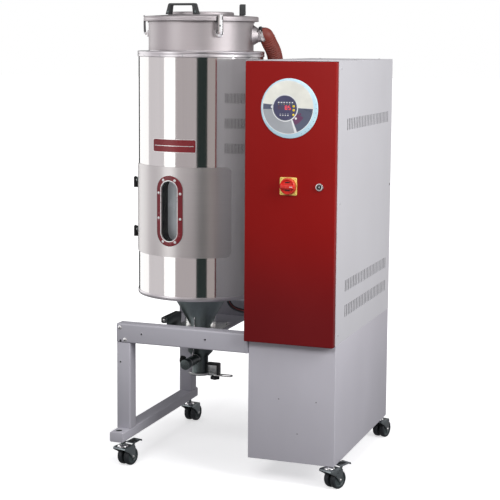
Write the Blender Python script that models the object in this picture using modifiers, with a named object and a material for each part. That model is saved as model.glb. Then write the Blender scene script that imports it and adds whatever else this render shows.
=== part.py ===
"""Mobile dehumidifying dryer for plastic granulate.

An insulated drying hopper stands on a wheeled tube frame beside a dryer cabinet
with a hinged control door.  Units are metres, +Z is up and -Y is the front.
The layout is dimensioned from the cabinet's front right edge at floor level,
and PLAN_SHIFT then moves everything so the origin is under the middle.
"""
import math

import bmesh
import bpy
from mathutils import Matrix, Vector

# ---------------------------------------------------------------- dimensions
PLAN_SHIFT = Vector((0.44575, -0.3770, 0.0))  # from the layout corner to the part origin
GAP = 0.0003                               # clearance left where two pieces touch

# cabinet and its base
CABINET_WIDTH = 0.357
CABINET_DEPTH = 0.790
CABINET_BOTTOM = 0.555
CABINET_TOP = 1.607
SHEET = 0.002
BASE_LEFT = -0.345
BASE_FRONT = 0.008
BASE_BOTTOM = 0.091
DOOR_LEFT = -0.3515
DOOR_RIGHT = -0.0015
DOOR_BOTTOM = 0.5515
DOOR_TOP = 1.6035
DOOR_FRONT = -0.0275
DOOR_BACK = -0.0005
DOOR_SKIN = 0.0015

# control panel items on the door
DISPLAY_CENTRE = (-0.1787, 1.4330)
DISPLAY_RADIUS = 0.110
BUTTONS = ((-0.1612, 1.4412), (-0.1612, 1.4270), (-0.1622, 1.4098))
SWITCH_CENTRE = (-0.1790, 1.1470)
SWITCH_SIZE = 0.066
LOCK_CENTRE = (-0.0600, 1.1480)

# frame
POST_SIZE = 0.058
FRAME_LEFT = -0.894
BEAM_BOTTOM = 0.498
BEAM_TOP = 0.573
FRAME_FRONT = 0.001
FRAME_REAR_FACE = 0.6345
FOOT_BEAM_Y = (-0.0650, 0.7090)
FOOT_BEAM_Z = (0.1140, 0.1540)
TUBE_WALL = 0.003

# casters: (x, y of the stem, z of the fixing face)
CASTER_STEMS = {
    "front_left": (-0.8680, 0.0000, 0.1140),
    "rear_left": (-0.8680, 0.6900, 0.1140),
    "front_right": (-0.0220, 0.0210, 0.0910),
    "rear_right": (-0.0220, 0.7480, 0.0910),
}
CASTER_YAW = {"front_left": 12.0, "rear_left": 6.0, "front_right": 25.0, "rear_right": 12.0}
WHEEL_RADIUS = 0.036
WHEEL_WIDTH = 0.022
WHEEL_PAIR_WIDTH = 0.053
CASTER_TRAIL = 0.032
FORK_TOP = 0.0860

# hopper
HOPPER_X = -0.678
HOPPER_Y = 0.345
JACKET_RADIUS = 0.2510
JACKET_BOTTOM = 0.6600
JACKET_TOP = 1.6127
VESSEL_RADIUS = 0.2105
VESSEL_WALL = 0.002
COLLAR_TOP = 1.7530
CONE_APEX = 0.447                       # height where the outer cone would close
CONE_SLOPE = math.tan(math.radians(30))
THROAT_RADIUS = 0.0352
TOP_RING_RADIUS = 0.2545
LID_RADIUS = 0.2300
OPENING_CENTRE = -6.7                   # degrees around the hopper, 0 faces the front
OPENING_HALF = 51.0
CLEAN_DOOR_HALF = 56.7
CLEAN_DOOR_Z = (0.8330, 1.1880)
CLEAN_HINGE_AZIMUTH = -68.5
CLEAN_HINGE_RADIUS = 0.2640
WINDOW_CENTRE_Z = 1.0150
LATCH_AZIMUTHS = {"front": 40.0, "left": -80.0, "rear": 160.0}
LATCH_PIVOT_R = 0.2262
LATCH_PIVOT_Z = 1.7050

# discharge under the hopper
FLANGE_Z = (0.5066, 0.5126)
CARRIER_Z = (0.5003, 0.5063)
GATE_Z = (0.4835, 0.5000)
OUTLET_TOP = 0.4832
OUTLET_BOTTOM = 0.3165
OUTLET_RADIUS = 0.0330
SUCTION_Z = 0.3850
SUCTION_RADIUS = 0.0195
FLAP_PIVOT_X = -0.6126


# ------------------------------------------------------------------- helpers
def clear_scene():
    for obj in list(bpy.data.objects):
        bpy.data.objects.remove(obj, do_unlink=True)


def collection(name):
    col = bpy.data.collections.new(name)
    bpy.context.scene.collection.children.link(col)
    return col


clear_scene()
PARTS = collection("parts")
CUTTERS = collection("cutters")


def material(name, color, metallic=0.0, roughness=0.5, transmission=0.0):
    mat = bpy.data.materials.new(name)
    mat.use_nodes = True
    shader = mat.node_tree.nodes["Principled BSDF"]
    shader.inputs["Base Color"].default_value = (*color, 1.0)
    shader.inputs["Metallic"].default_value = metallic
    shader.inputs["Roughness"].default_value = roughness
    shader.inputs["Transmission Weight"].default_value = transmission
    return mat


def link_object(name, mesh, where, mat=None):
    obj = bpy.data.objects.new(name, mesh)
    where.objects.link(obj)
    if mat is not None:
        obj.data.materials.append(mat)
    if where is CUTTERS:
        obj.hide_render = True
        obj.display_type = "WIRE"
    return obj


def mesh_from(name, verts, faces, where=PARTS, mat=None):
    mesh = bpy.data.meshes.new(name)
    mesh.from_pydata([tuple(v) for v in verts], [], faces)
    bm = bmesh.new()
    bm.from_mesh(mesh)
    bmesh.ops.recalc_face_normals(bm, faces=bm.faces)
    bm.to_mesh(mesh)
    bm.free()
    return link_object(name, mesh, where, mat)


def box(name, x, y, z, where=PARTS, mat=None):
    verts = [(a, b, c) for a in x for b in y for c in z]
    faces = [(0, 1, 3, 2), (4, 6, 7, 5), (0, 4, 5, 1), (2, 3, 7, 6), (0, 2, 6, 4), (1, 5, 7, 3)]
    return mesh_from(name, verts, faces, where, mat)


def prism(name, outline, axis, low, high, where=PARTS, mat=None):
    """Extrude a closed 2-D outline along an axis; outline uses the other two axes in order."""
    def place(point, height):
        a, b = point
        return {"x": (height, a, b), "y": (a, height, b), "z": (a, b, height)}[axis]
    n = len(outline)
    verts = [place(p, low) for p in outline] + [place(p, high) for p in outline]
    faces = [tuple(range(n))[::-1], tuple(range(n, 2 * n))]
    faces += [(i, (i + 1) % n, n + (i + 1) % n, n + i) for i in range(n)]
    return mesh_from(name, verts, faces, where, mat)


def rounded(cx, cy, w, h, radius, steps=2):
    """Rounded rectangle outline, counter-clockwise."""
    points = []
    corners = ((1, 1, 0), (-1, 1, 90), (-1, -1, 180), (1, -1, 270))
    for sx, sy, start in corners:
        ox, oy = cx + sx * (w / 2 - radius), cy + sy * (h / 2 - radius)
        for k in range(steps + 1):
            a = math.radians(start + 90 * k / steps)
            points.append((ox + radius * math.cos(a), oy + radius * math.sin(a)))
    return points


def disc_outline(cx, cy, radius, count=20):
    return [(cx + radius * math.cos(2 * math.pi * k / count),
             cy + radius * math.sin(2 * math.pi * k / count)) for k in range(count)]


def rod(name, start, end, radius, count=16, where=PARTS, mat=None):
    """Round bar between two points."""
    start, end = Vector(start), Vector(end)
    direction = (end - start).normalized()
    turn = direction.to_track_quat("Z", "Y").to_matrix()
    verts = []
    for base in (start, end):
        for a, b in disc_outline(0, 0, radius, count):
            verts.append(base + turn @ Vector((a, b, 0)))
    n = count
    faces = [tuple(range(n))[::-1], tuple(range(n, 2 * n))]
    faces += [(i, (i + 1) % n, n + (i + 1) % n, n + i) for i in range(n)]
    return mesh_from(name, verts, faces, where, mat)


def lathe(name, profile, centre, steps=32, axis="z", where=PARTS, mat=None):
    """Turn a closed (radius, height) profile; it runs down its outer side, top to bottom."""
    mesh = bpy.data.meshes.new(name)
    on_axis = profile[0][0] < 1e-9 or profile[-1][0] < 1e-9
    count = len(profile)
    edges = [(i, i + 1) for i in range(count - 1)]
    if not on_axis:
        edges.append((count - 1, 0))
    mesh.from_pydata([(r, 0.0, z) for r, z in profile], edges, [])
    obj = link_object(name, mesh, where, mat)
    obj.location = centre
    if axis == "y":                     # local +Z looks to the front (-Y)
        obj.rotation_euler = (math.radians(90), 0, 0)
    if axis == "x":                     # local +Z looks to +X
        obj.rotation_euler = (0, math.radians(90), 0)
    screw = obj.modifiers.new("turn", "SCREW")
    screw.axis = "Z"
    screw.angle = math.radians(360)
    screw.steps = steps
    screw.render_steps = steps
    screw.use_merge_vertices = True
    screw.merge_threshold = 0.00001
    return obj


def hopper_point(azimuth, radius, height):
    a = math.radians(azimuth)
    return Vector((HOPPER_X + radius * math.sin(a), HOPPER_Y - radius * math.cos(a), height))


def curved_plate(name, centre_az, half_az, z_low, z_high, r_in, r_out, corner, columns=18,
                 where=PARTS, mat=None):
    """Rounded plate bent around the hopper axis."""
    radius = 0.5 * (r_in + r_out)
    half = math.radians(half_az) * radius
    marks = {-half, half}
    for k in range(4):                  # extra columns where the corners curve
        d = corner * (1 - math.cos(math.radians(90 * k / 3)))
        marks.update((-half + d, half - d))
    for k in range(columns + 1):
        s = -half + 2 * half * k / columns
        if abs(s) < half - corner:
            marks.add(s)
    marks = sorted(marks)
    kept = [marks[0]]
    for s in marks[1:]:
        if s - kept[-1] > 1e-6:
            kept.append(s)
    verts = []
    for s in kept:
        d = min(s + half, half - s)
        drop = 0.0
        if d < corner:
            drop = corner - math.sqrt(max(corner ** 2 - (corner - d) ** 2, 0.0))
        azimuth = centre_az + math.degrees(s / radius)
        for r in (r_in, r_out):
            for z in (z_low + drop, z_high - drop):
                verts.append(hopper_point(azimuth, r, z))
    faces = [(0, 1, 3, 2)]
    for i in range(len(kept) - 1):
        a, b = 4 * i, 4 * (i + 1)
        faces += [(a, b, b + 1, a + 1), (a + 2, a + 3, b + 3, b + 2),
                  (a, a + 2, b + 2, b), (a + 1, b + 1, b + 3, a + 3)]
    a = 4 * (len(kept) - 1)
    faces.append((a, a + 2, a + 3, a + 1))
    return mesh_from(name, verts, faces, where, mat)


def hopper_block(name, azimuth, width, r_in, r_out, z_low, z_high, where=PARTS, mat=None):
    """Straight block standing on the hopper side at one azimuth."""
    a = math.radians(azimuth)
    out = Vector((math.sin(a), -math.cos(a), 0))
    side = Vector((math.cos(a), math.sin(a), 0))
    centre = Vector((HOPPER_X, HOPPER_Y, 0))
    verts = [centre + out * r + side * w + Vector((0, 0, z))
             for r in (r_in, r_out) for w in (-width / 2, width / 2) for z in (z_low, z_high)]
    faces = [(0, 1, 3, 2), (4, 6, 7, 5), (0, 4, 5, 1), (2, 3, 7, 6), (0, 2, 6, 4), (1, 5, 7, 3)]
    return mesh_from(name, verts, faces, where, mat)


def sweep_tube(name, path, r_out, r_in, count=16, where=PARTS, mat=None):
    """Hollow tube swept along a list of points."""
    path = [Vector(p) for p in path]
    tangents = []
    for i in range(len(path)):
        a = path[max(i - 1, 0)]
        b = path[min(i + 1, len(path) - 1)]
        tangents.append((b - a).normalized())
    normal = tangents[0].orthogonal().normalized()
    rings = []
    for i, point in enumerate(path):
        normal = (normal - tangents[i] * normal.dot(tangents[i])).normalized()
        side = tangents[i].cross(normal)
        ring = []
        for radius in (r_out, r_in):
            for k in range(count):
                a = 2 * math.pi * k / count
                ring.append(point + (normal * math.cos(a) + side * math.sin(a)) * radius)
        rings.append(ring)
    verts = [v for ring in rings for v in ring]
    faces = []
    step = 2 * count
    for i in range(len(path) - 1):
        for shell in (0, count):
            for k in range(count):
                a = i * step + shell + k
                b = i * step + shell + (k + 1) % count
                faces.append((a, b, b + step, a + step))
    for end in (0, (len(path) - 1) * step):
        for k in range(count):
            j = (k + 1) % count
            faces.append((end + k, end + j, end + count + j, end + count + k))
    return mesh_from(name, verts, faces, where, mat)


def smooth_path(points, count):
    """Catmull-Rom curve through the given points."""
    pts = [Vector(p) for p in points]
    pts = [2 * pts[0] - pts[1]] + pts + [2 * pts[-1] - pts[-2]]
    out = []
    spans = len(pts) - 3
    for i in range(count + 1):
        t = spans * i / count
        k = min(int(t), spans - 1)
        u = t - k
        p0, p1, p2, p3 = pts[k:k + 4]
        out.append(0.5 * ((2 * p1) + (p2 - p0) * u + (2 * p0 - 5 * p1 + 4 * p2 - p3) * u * u
                          + (3 * p1 - p0 - 3 * p2 + p3) * u ** 3))
    return out


def combine(obj, tool, operation):
    mod = obj.modifiers.new(operation.lower() + "_" + tool.name, "BOOLEAN")
    mod.operation = operation
    mod.solver = "EXACT"
    mod.object = tool
    return obj


def cut(obj, *tools):
    for tool in tools:
        combine(obj, tool, "DIFFERENCE")
    return obj


def join(obj, *tools):
    for tool in tools:
        combine(obj, tool, "UNION")
    return obj


def soften(obj, width, segments=2, angle=35):
    mod = obj.modifiers.new("edges", "BEVEL")
    mod.width = width
    mod.segments = segments
    mod.limit_method = "ANGLE"
    mod.angle_limit = math.radians(angle)
    return obj


def set_pivot(obj, point):
    """Put the object's origin on its joint axis, leaving the shape where it is."""
    point = Vector(point)
    obj.data.transform(Matrix.Translation(obj.location - point))
    obj.location = point
    return obj


# ----------------------------------------------------------------- materials
FRAME_GREY = material("frame_grey", (0.46, 0.45, 0.50), 0.0, 0.45)
BODY_GREY = material("body_grey", (0.62, 0.61, 0.65), 0.0, 0.45)
DOOR_RED = material("door_red", (0.36, 0.018, 0.022), 0.0, 0.45)
POLISHED = material("polished_steel", (0.72, 0.70, 0.68), 1.0, 0.15)
SATIN = material("satin_steel", (0.62, 0.61, 0.60), 1.0, 0.35)
DARK_STEEL = material("dark_steel", (0.22, 0.24, 0.25), 1.0, 0.45)
CHROME = material("chrome", (0.80, 0.80, 0.80), 1.0, 0.12)
BLACK_PLASTIC = material("black_plastic", (0.02, 0.02, 0.02), 0.0, 0.40)
RUBBER = material("black_rubber", (0.015, 0.015, 0.018), 0.0, 0.75)
RED_TRIM = material("red_trim", (0.30, 0.02, 0.03), 0.0, 0.40)
GLASS = material("window_glass", (0.90, 0.92, 0.92), 0.0, 0.05, 0.95)
DISPLAY_FILM = material("display_film", (0.55, 0.62, 0.78), 0.0, 0.35)
YELLOW = material("yellow_plate", (0.80, 0.50, 0.03), 0.0, 0.40)
SWITCH_RED = material("switch_red", (0.62, 0.05, 0.02), 0.0, 0.35)
HOSE_RED = material("hose_red", (0.25, 0.05, 0.03), 0.0, 0.60)
ALUMINIUM = material("aluminium", (0.70, 0.71, 0.72), 1.0, 0.35)
ZINC = material("zinc_plate", (0.55, 0.56, 0.56), 1.0, 0.40)


# --------------------------------------------------------------------- frame
def square_tube(name, centre, size, axis, low, high, corner=0.005):
    """Closed-ended hollow profile with rounded long edges."""
    outer = prism(name, rounded(*centre, *size, corner), axis, low, high, mat=FRAME_GREY)
    inner_size = (size[0] - 2 * TUBE_WALL, size[1] - 2 * TUBE_WALL)
    inner = prism(name + "_bore", rounded(*centre, *inner_size, corner - TUBE_WALL + 0.0005),
                  axis, low + TUBE_WALL, high - TUBE_WALL, CUTTERS)
    return cut(outer, inner)


def build_frame():
    right = BASE_LEFT - 0.0005
    y_front = (FRAME_FRONT, FRAME_FRONT + POST_SIZE)
    y_rear = (FRAME_REAR_FACE, FRAME_REAR_FACE + POST_SIZE)
    beam_z = 0.5 * (BEAM_BOTTOM + BEAM_TOP)
    beam_h = BEAM_TOP - BEAM_BOTTOM
    for label, ys in (("front", y_front), ("rear", y_rear)):
        beam = square_tube("beam_" + label, (sum(ys) / 2, beam_z), (POST_SIZE, beam_h), "x",
                           FRAME_LEFT, right)
        notch = box("beam_notch_" + label, (-CABINET_WIDTH - GAP, right + 0.02),
                    (ys[0] - 0.01, ys[1] + 0.01), (CABINET_BOTTOM - GAP, BEAM_TOP + 0.01), CUTTERS)
        cut(beam, notch)
        face = ys[0]
        for k, x in enumerate((-0.7864, -0.5193)):
            hole = rod(f"beam_{label}_plug_hole_{k}", (x, face - 0.01, 0.5382),
                       (x, face + 0.01, 0.5382), 0.004, 10, CUTTERS)
            cut(beam, hole)
        post_x = FRAME_LEFT + POST_SIZE / 2
        post = square_tube("post_" + label + "_left", (post_x, sum(ys) / 2), (POST_SIZE, POST_SIZE),
                           "z", FOOT_BEAM_Z[1] + GAP, BEAM_BOTTOM - GAP)
        hole = rod(f"post_{label}_hole", (post_x - 0.0115, face - 0.01, 0.4210),
                   (post_x - 0.0115, face + 0.01, 0.4210), 0.003, 8, CUTTERS)
        cut(post, hole)
    foot = square_tube("foot_beam_left", (FRAME_LEFT + POST_SIZE / 2, sum(FOOT_BEAM_Z) / 2),
                       (POST_SIZE, FOOT_BEAM_Z[1] - FOOT_BEAM_Z[0]), "y", *FOOT_BEAM_Y)
    for label, hole_y in (("front_left", -0.0388), ("rear_left", 0.7000)):
        x, y, z = CASTER_STEMS[label]
        access = rod("bolt_access_" + label, (x, hole_y, 0.14), (x, hole_y, 0.16), 0.0125, 16, CUTTERS)
        stem = rod("stem_hole_" + label, (x, y, 0.10), (x, y, 0.13), 0.0065, 10, CUTTERS)
        cut(foot, access, stem)
    # flat carrier plate between the beams, with the hopper throat in its middle
    y0, y1 = y_front[1] + GAP, y_rear[0] - GAP
    carrier = prism("hopper_carrier", [
        (FRAME_LEFT + 0.08, y0), (-CABINET_WIDTH - 0.006, y0), (-CABINET_WIDTH - 0.006, y0 + 0.075),
        (HOPPER_X + 0.11, y0 + 0.075), (HOPPER_X + 0.11, y1 - 0.075),
        (-CABINET_WIDTH - 0.006, y1 - 0.075), (-CABINET_WIDTH - 0.006, y1), (FRAME_LEFT + 0.08, y1),
        (FRAME_LEFT + 0.08, y1 - 0.075), (HOPPER_X - 0.11, y1 - 0.075),
        (HOPPER_X - 0.11, y0 + 0.075), (FRAME_LEFT + 0.08, y0 + 0.075)], "z", *CARRIER_Z,
        mat=FRAME_GREY)
    throat = rod("carrier_hole", (HOPPER_X, HOPPER_Y, 0.49), (HOPPER_X, HOPPER_Y, 0.52), 0.040, 28,
                 CUTTERS)
    cut(carrier, throat)


def build_caster(label, brake):
    x, y, top = CASTER_STEMS[label]
    axle = Vector((x, y + CASTER_TRAIL, WHEEL_RADIUS))
    half = WHEEL_PAIR_WIDTH / 2
    # fork: two cheeks, a crown plate, the race dome and the stem
    cheek_outline = [(y + CASTER_TRAIL - 0.009, 0.029), (y + CASTER_TRAIL + 0.009, 0.029),
                     (y + CASTER_TRAIL + 0.012, 0.040), (y + 0.046, FORK_TOP - 0.0155),
                     (y + 0.042, FORK_TOP - 0.006), (y - 0.022, FORK_TOP - 0.006),
                     (y - 0.026, FORK_TOP - 0.016), (y + CASTER_TRAIL - 0.012, 0.040)]
    fork = box("caster_fork_" + label, (x - half - 0.0030, x + half + 0.0030),
               (y - 0.022, y + 0.042), (FORK_TOP - 0.0075, FORK_TOP - 0.0045), mat=CHROME)
    for side, x0 in (("l", x - half - 0.0030), ("r", x + half + 0.0008)):
        cheek = prism(f"fork_cheek_{side}_{label}", cheek_outline, "x", x0, x0 + 0.0022, CUTTERS)
        join(fork, cheek)
    dome = lathe("fork_dome_" + label, [(0.0, 0.0035), (0.012, 0.0035), (0.0190, 0.001),
                                        (0.0215, -0.0055), (0.0, -0.0055)],
                 (x, y, FORK_TOP), 14, where=CUTTERS)
    stem = rod("fork_stem_" + label, (x, y, FORK_TOP), (x, y, top - GAP), 0.0105, 12, CUTTERS)
    pin = rod("fork_axle_" + label, (x - half - 0.0045, axle.y, axle.z),
              (x + half + 0.0045, axle.y, axle.z), 0.0035, 8, CUTTERS)
    join(fork, dome, stem, pin)
    set_pivot(fork, (x, y, top))
    # twin wheel: two tyres on one hub sleeve, bored for the axle
    inner = half - WHEEL_WIDTH
    profile = [(0.0320, half - GAP), (WHEEL_RADIUS, half - 0.0050), (WHEEL_RADIUS, inner + 0.0040),
               (0.0330, inner), (0.0100, inner), (0.0100, -inner), (0.0330, -inner),
               (WHEEL_RADIUS, -inner - 0.0040), (WHEEL_RADIUS, -half + 0.0050), (0.0320, -half + GAP),
               (0.0039, -half + GAP), (0.0039, half - GAP)]
    lathe("caster_wheels_" + label, profile, axle, 24, "x", mat=RUBBER)
    if brake:
        pivot = Vector((x, y + 0.0460, FORK_TOP - 0.0020))
        pedal = prism("caster_pedal_" + label, [
            (pivot.y - 0.0026, pivot.z - 0.0020), (pivot.y + 0.020, pivot.z - 0.0020),
            (pivot.y + 0.046, pivot.z + 0.0010), (pivot.y + 0.054, pivot.z - 0.0040),
            (pivot.y + 0.058, pivot.z - 0.0030), (pivot.y + 0.054, pivot.z + 0.0045),
            (pivot.y + 0.020, pivot.z + 0.0020), (pivot.y - 0.0026, pivot.z + 0.0020)],
            "x", x - 0.021, x + 0.021, mat=CHROME)
        set_pivot(pedal, pivot)
    # swing the whole caster about its stem to its parked direction
    turn = (Matrix.Translation((x, y, 0)) @ Matrix.Rotation(-math.radians(CASTER_YAW[label]), 4, "Z")
            @ Matrix.Translation((-x, -y, 0)))
    bpy.context.view_layer.update()
    for obj in bpy.data.objects:
        if obj.name.endswith(label) and obj.name.startswith(("caster_", "fork_")):
            obj.matrix_world = turn @ obj.matrix_world


# ------------------------------------------------------------------- cabinet
def build_cabinet():
    # base: hollow sheet box, open on top under the cabinet floor
    base = box("base_cabinet", (BASE_LEFT, 0.0), (BASE_FRONT, CABINET_DEPTH),
               (BASE_BOTTOM, CABINET_BOTTOM - GAP), mat=BODY_GREY)
    hollow = box("base_hollow", (BASE_LEFT + SHEET, -SHEET), (BASE_FRONT + SHEET, CABINET_DEPTH - SHEET),
                 (BASE_BOTTOM + 0.004, CABINET_BOTTOM - 0.004), CUTTERS)
    vent = box("base_top_opening", (BASE_LEFT + 0.04, -0.04), (0.10, 0.70), (0.54, 0.56), CUTTERS)
    cut(base, hollow, vent)
    for k, (x, z) in enumerate(((-0.2211, 0.3330), (-0.0736, 0.3330), (-0.1466, 0.2048))):
        hole = rod(f"base_screw_hole_{k}", (x, BASE_FRONT - 0.01, z), (x, BASE_FRONT + 0.01, z),
                   0.0025, 8, CUTTERS)
        cut(base, hole)
    # upper body, open to the front (door) and to the right (side panel)
    body = box("cabinet_body", (-CABINET_WIDTH, -0.0018), (0.0, CABINET_DEPTH),
               (CABINET_BOTTOM, CABINET_TOP), mat=BODY_GREY)
    inside = box("cabinet_inside", (-CABINET_WIDTH + SHEET, 0.05),
                 (-0.05, CABINET_DEPTH - SHEET), (CABINET_BOTTOM + SHEET, CABINET_TOP - SHEET), CUTTERS)
    port = rod("return_port", (-CABINET_WIDTH - 0.01, 0.545, 1.305),
               (-CABINET_WIDTH + 0.01, 0.545, 1.305), 0.0255, 20, CUTTERS)
    supply = rod("supply_port", (-CABINET_WIDTH - 0.01, 0.330, 0.590),
                 (-CABINET_WIDTH + 0.01, 0.330, 0.590), 0.0075, 12, CUTTERS)
    cut(body, inside, port, supply)
    # removable side panel with three bands of air slots
    panel = box("side_panel", (-0.0015, 0.0), (0.0, CABINET_DEPTH), (CABINET_BOTTOM, CABINET_TOP),
                mat=BODY_GREY)
    verts, faces = [], []
    for z_low, z_high in ((1.3500, 1.3930), (0.7400, 0.7840), (0.6430, 0.6880)):
        for k in range(26):
            y = 0.1230 + k * 0.0240
            n = len(verts)
            verts += [(a, b, c) for a in (-0.01, 0.01) for b in (y, y + 0.0120)
                      for c in (z_low, z_high)]
            faces += [(n, n + 1, n + 3, n + 2), (n + 4, n + 6, n + 7, n + 5), (n, n + 4, n + 5, n + 1),
                      (n + 2, n + 3, n + 7, n + 6), (n, n + 2, n + 6, n + 4), (n + 1, n + 5, n + 7, n + 3)]
    slots = mesh_from("panel_slots", verts, faces, CUTTERS)
    cut(panel, slots)

    # inside the cabinet
    box("component_plate", (-0.330, -0.025), (0.130, 0.133), (0.600, 1.560), mat=ZINC)
    controller = box("controller_unit", (-0.290, -0.065), (0.060, 0.1297), (1.320, 1.520),
                     mat=BLACK_PLASTIC)
    soften(controller, 0.003)
    for k, x in enumerate((-0.265, -0.095)):
        lathe(f"desiccant_canister_{k + 1}", [
            (0.0, 0.620), (0.022, 0.620), (0.022, 0.560), (0.076, 0.530), (0.076, 0.090),
            (0.022, 0.060), (0.022, 0.0), (0.0, 0.0)],
            (x, 0.330, CABINET_BOTTOM + SHEET + GAP), 24, mat=SATIN)
    lathe("process_blower", [
        (0.0, 0.150), (0.065, 0.150), (0.078, 0.140), (0.078, 0.060), (0.120, 0.050),
        (0.120, 0.0), (0.0, 0.0)],
        (-0.178, 0.620, CABINET_BOTTOM + SHEET + GAP), 28, mat=ALUMINIUM)


def build_control_door():
    door = box("control_door", (DOOR_LEFT, DOOR_RIGHT), (DOOR_FRONT, DOOR_BACK), (DOOR_BOTTOM, DOOR_TOP),
               mat=DOOR_RED)
    tray = box("door_tray", (DOOR_LEFT + DOOR_SKIN, DOOR_RIGHT - DOOR_SKIN),
               (DOOR_FRONT + DOOR_SKIN, DOOR_BACK + 0.01),
               (DOOR_BOTTOM + DOOR_SKIN, DOOR_TOP - DOOR_SKIN), CUTTERS)
    cut(door, tray)
    for name, (x, z), radius in (("door_switch_hole", SWITCH_CENTRE, 0.0112),
                                 ("door_lock_hole", LOCK_CENTRE, 0.0105)):
        cut(door, rod(name, (x, DOOR_FRONT - 0.01, z), (x, DOOR_FRONT + 0.01, z), radius, 16, CUTTERS))
    set_pivot(door, (DOOR_LEFT, DOOR_BACK, DOOR_BOTTOM))

    # round display panel with three push buttons
    x, z = DISPLAY_CENTRE
    face = DOOR_FRONT - GAP
    display = lathe("display_panel", [
        (0.0, 0.0034), (0.1080, 0.0034), (DISPLAY_RADIUS, 0.0018), (DISPLAY_RADIUS, 0.0),
        (0.0, 0.0)], (x, face, z), 56, "y", mat=DISPLAY_FILM)
    for k, (bx, bz) in enumerate(BUTTONS):
        hole = rod(f"button_hole_{k}", (bx, face - 0.01, bz), (bx, face + 0.01, bz), 0.0052, 12, CUTTERS)
        cut(display, hole)
        button = rod(f"button_{k + 1}", (bx, face - 0.0048, bz), (bx, face - 0.0018, bz), 0.0048, 12,
                     mat=YELLOW)
        set_pivot(button, (bx, face - 0.0018, bz))

    # main switch: square plate and rotary knob with a grip bar
    x, z = SWITCH_CENTRE
    plate = prism("switch_plate", rounded(x, z, SWITCH_SIZE, SWITCH_SIZE, 0.004), "y",
                  face - 0.0040, face, mat=YELLOW)
    cut(plate, rod("switch_shaft_hole", (x, face - 0.01, z), (x, face + 0.01, z), 0.0070, 14, CUTTERS))
    set_pivot(plate, (DOOR_LEFT, DOOR_BACK, DOOR_BOTTOM))
    knob = lathe("switch_knob", [
        (0.0, 0.0190), (0.0260, 0.0190), (0.0290, 0.0160), (0.0290, 0.0043),
        (0.0060, 0.0043), (0.0060, -0.0100), (0.0, -0.0100)], (x, face, z), 28, "y", mat=SWITCH_RED)
    grip = prism("knob_grip", [(x - 0.0245, face - 0.0290), (x - 0.0265, face - 0.0160),
                               (x + 0.0265, face - 0.0160), (x + 0.0245, face - 0.0290)],
                 "z", z - 0.0065, z + 0.0065, CUTTERS)
    join(knob, grip)

    # quarter-turn lock
    x, z = LOCK_CENTRE
    lock = lathe("lock_cylinder", [
        (0.0, 0.0060), (0.0130, 0.0060), (0.0150, 0.0040), (0.0150, 0.0), (0.0095, 0.0),
        (0.0095, -0.0160), (0.0, -0.0160)], (x, face, z), 20, "y", mat=CHROME)
    slot = box("key_slot", (x - 0.0012, x + 0.0012), (face - 0.010, face - 0.0030),
               (z - 0.0050, z + 0.0050), CUTTERS)
    cam = box("lock_cam", (x - 0.0060, x + 0.0060), (DOOR_FRONT + 0.0130, DOOR_FRONT + 0.0155),
              (z - 0.0060, z + 0.0300), CUTTERS)
    join(lock, cam)
    cut(lock, slot)


# -------------------------------------------------------------------- hopper
def cone_radius(height):
    return (height - CONE_APEX) * CONE_SLOPE


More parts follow.
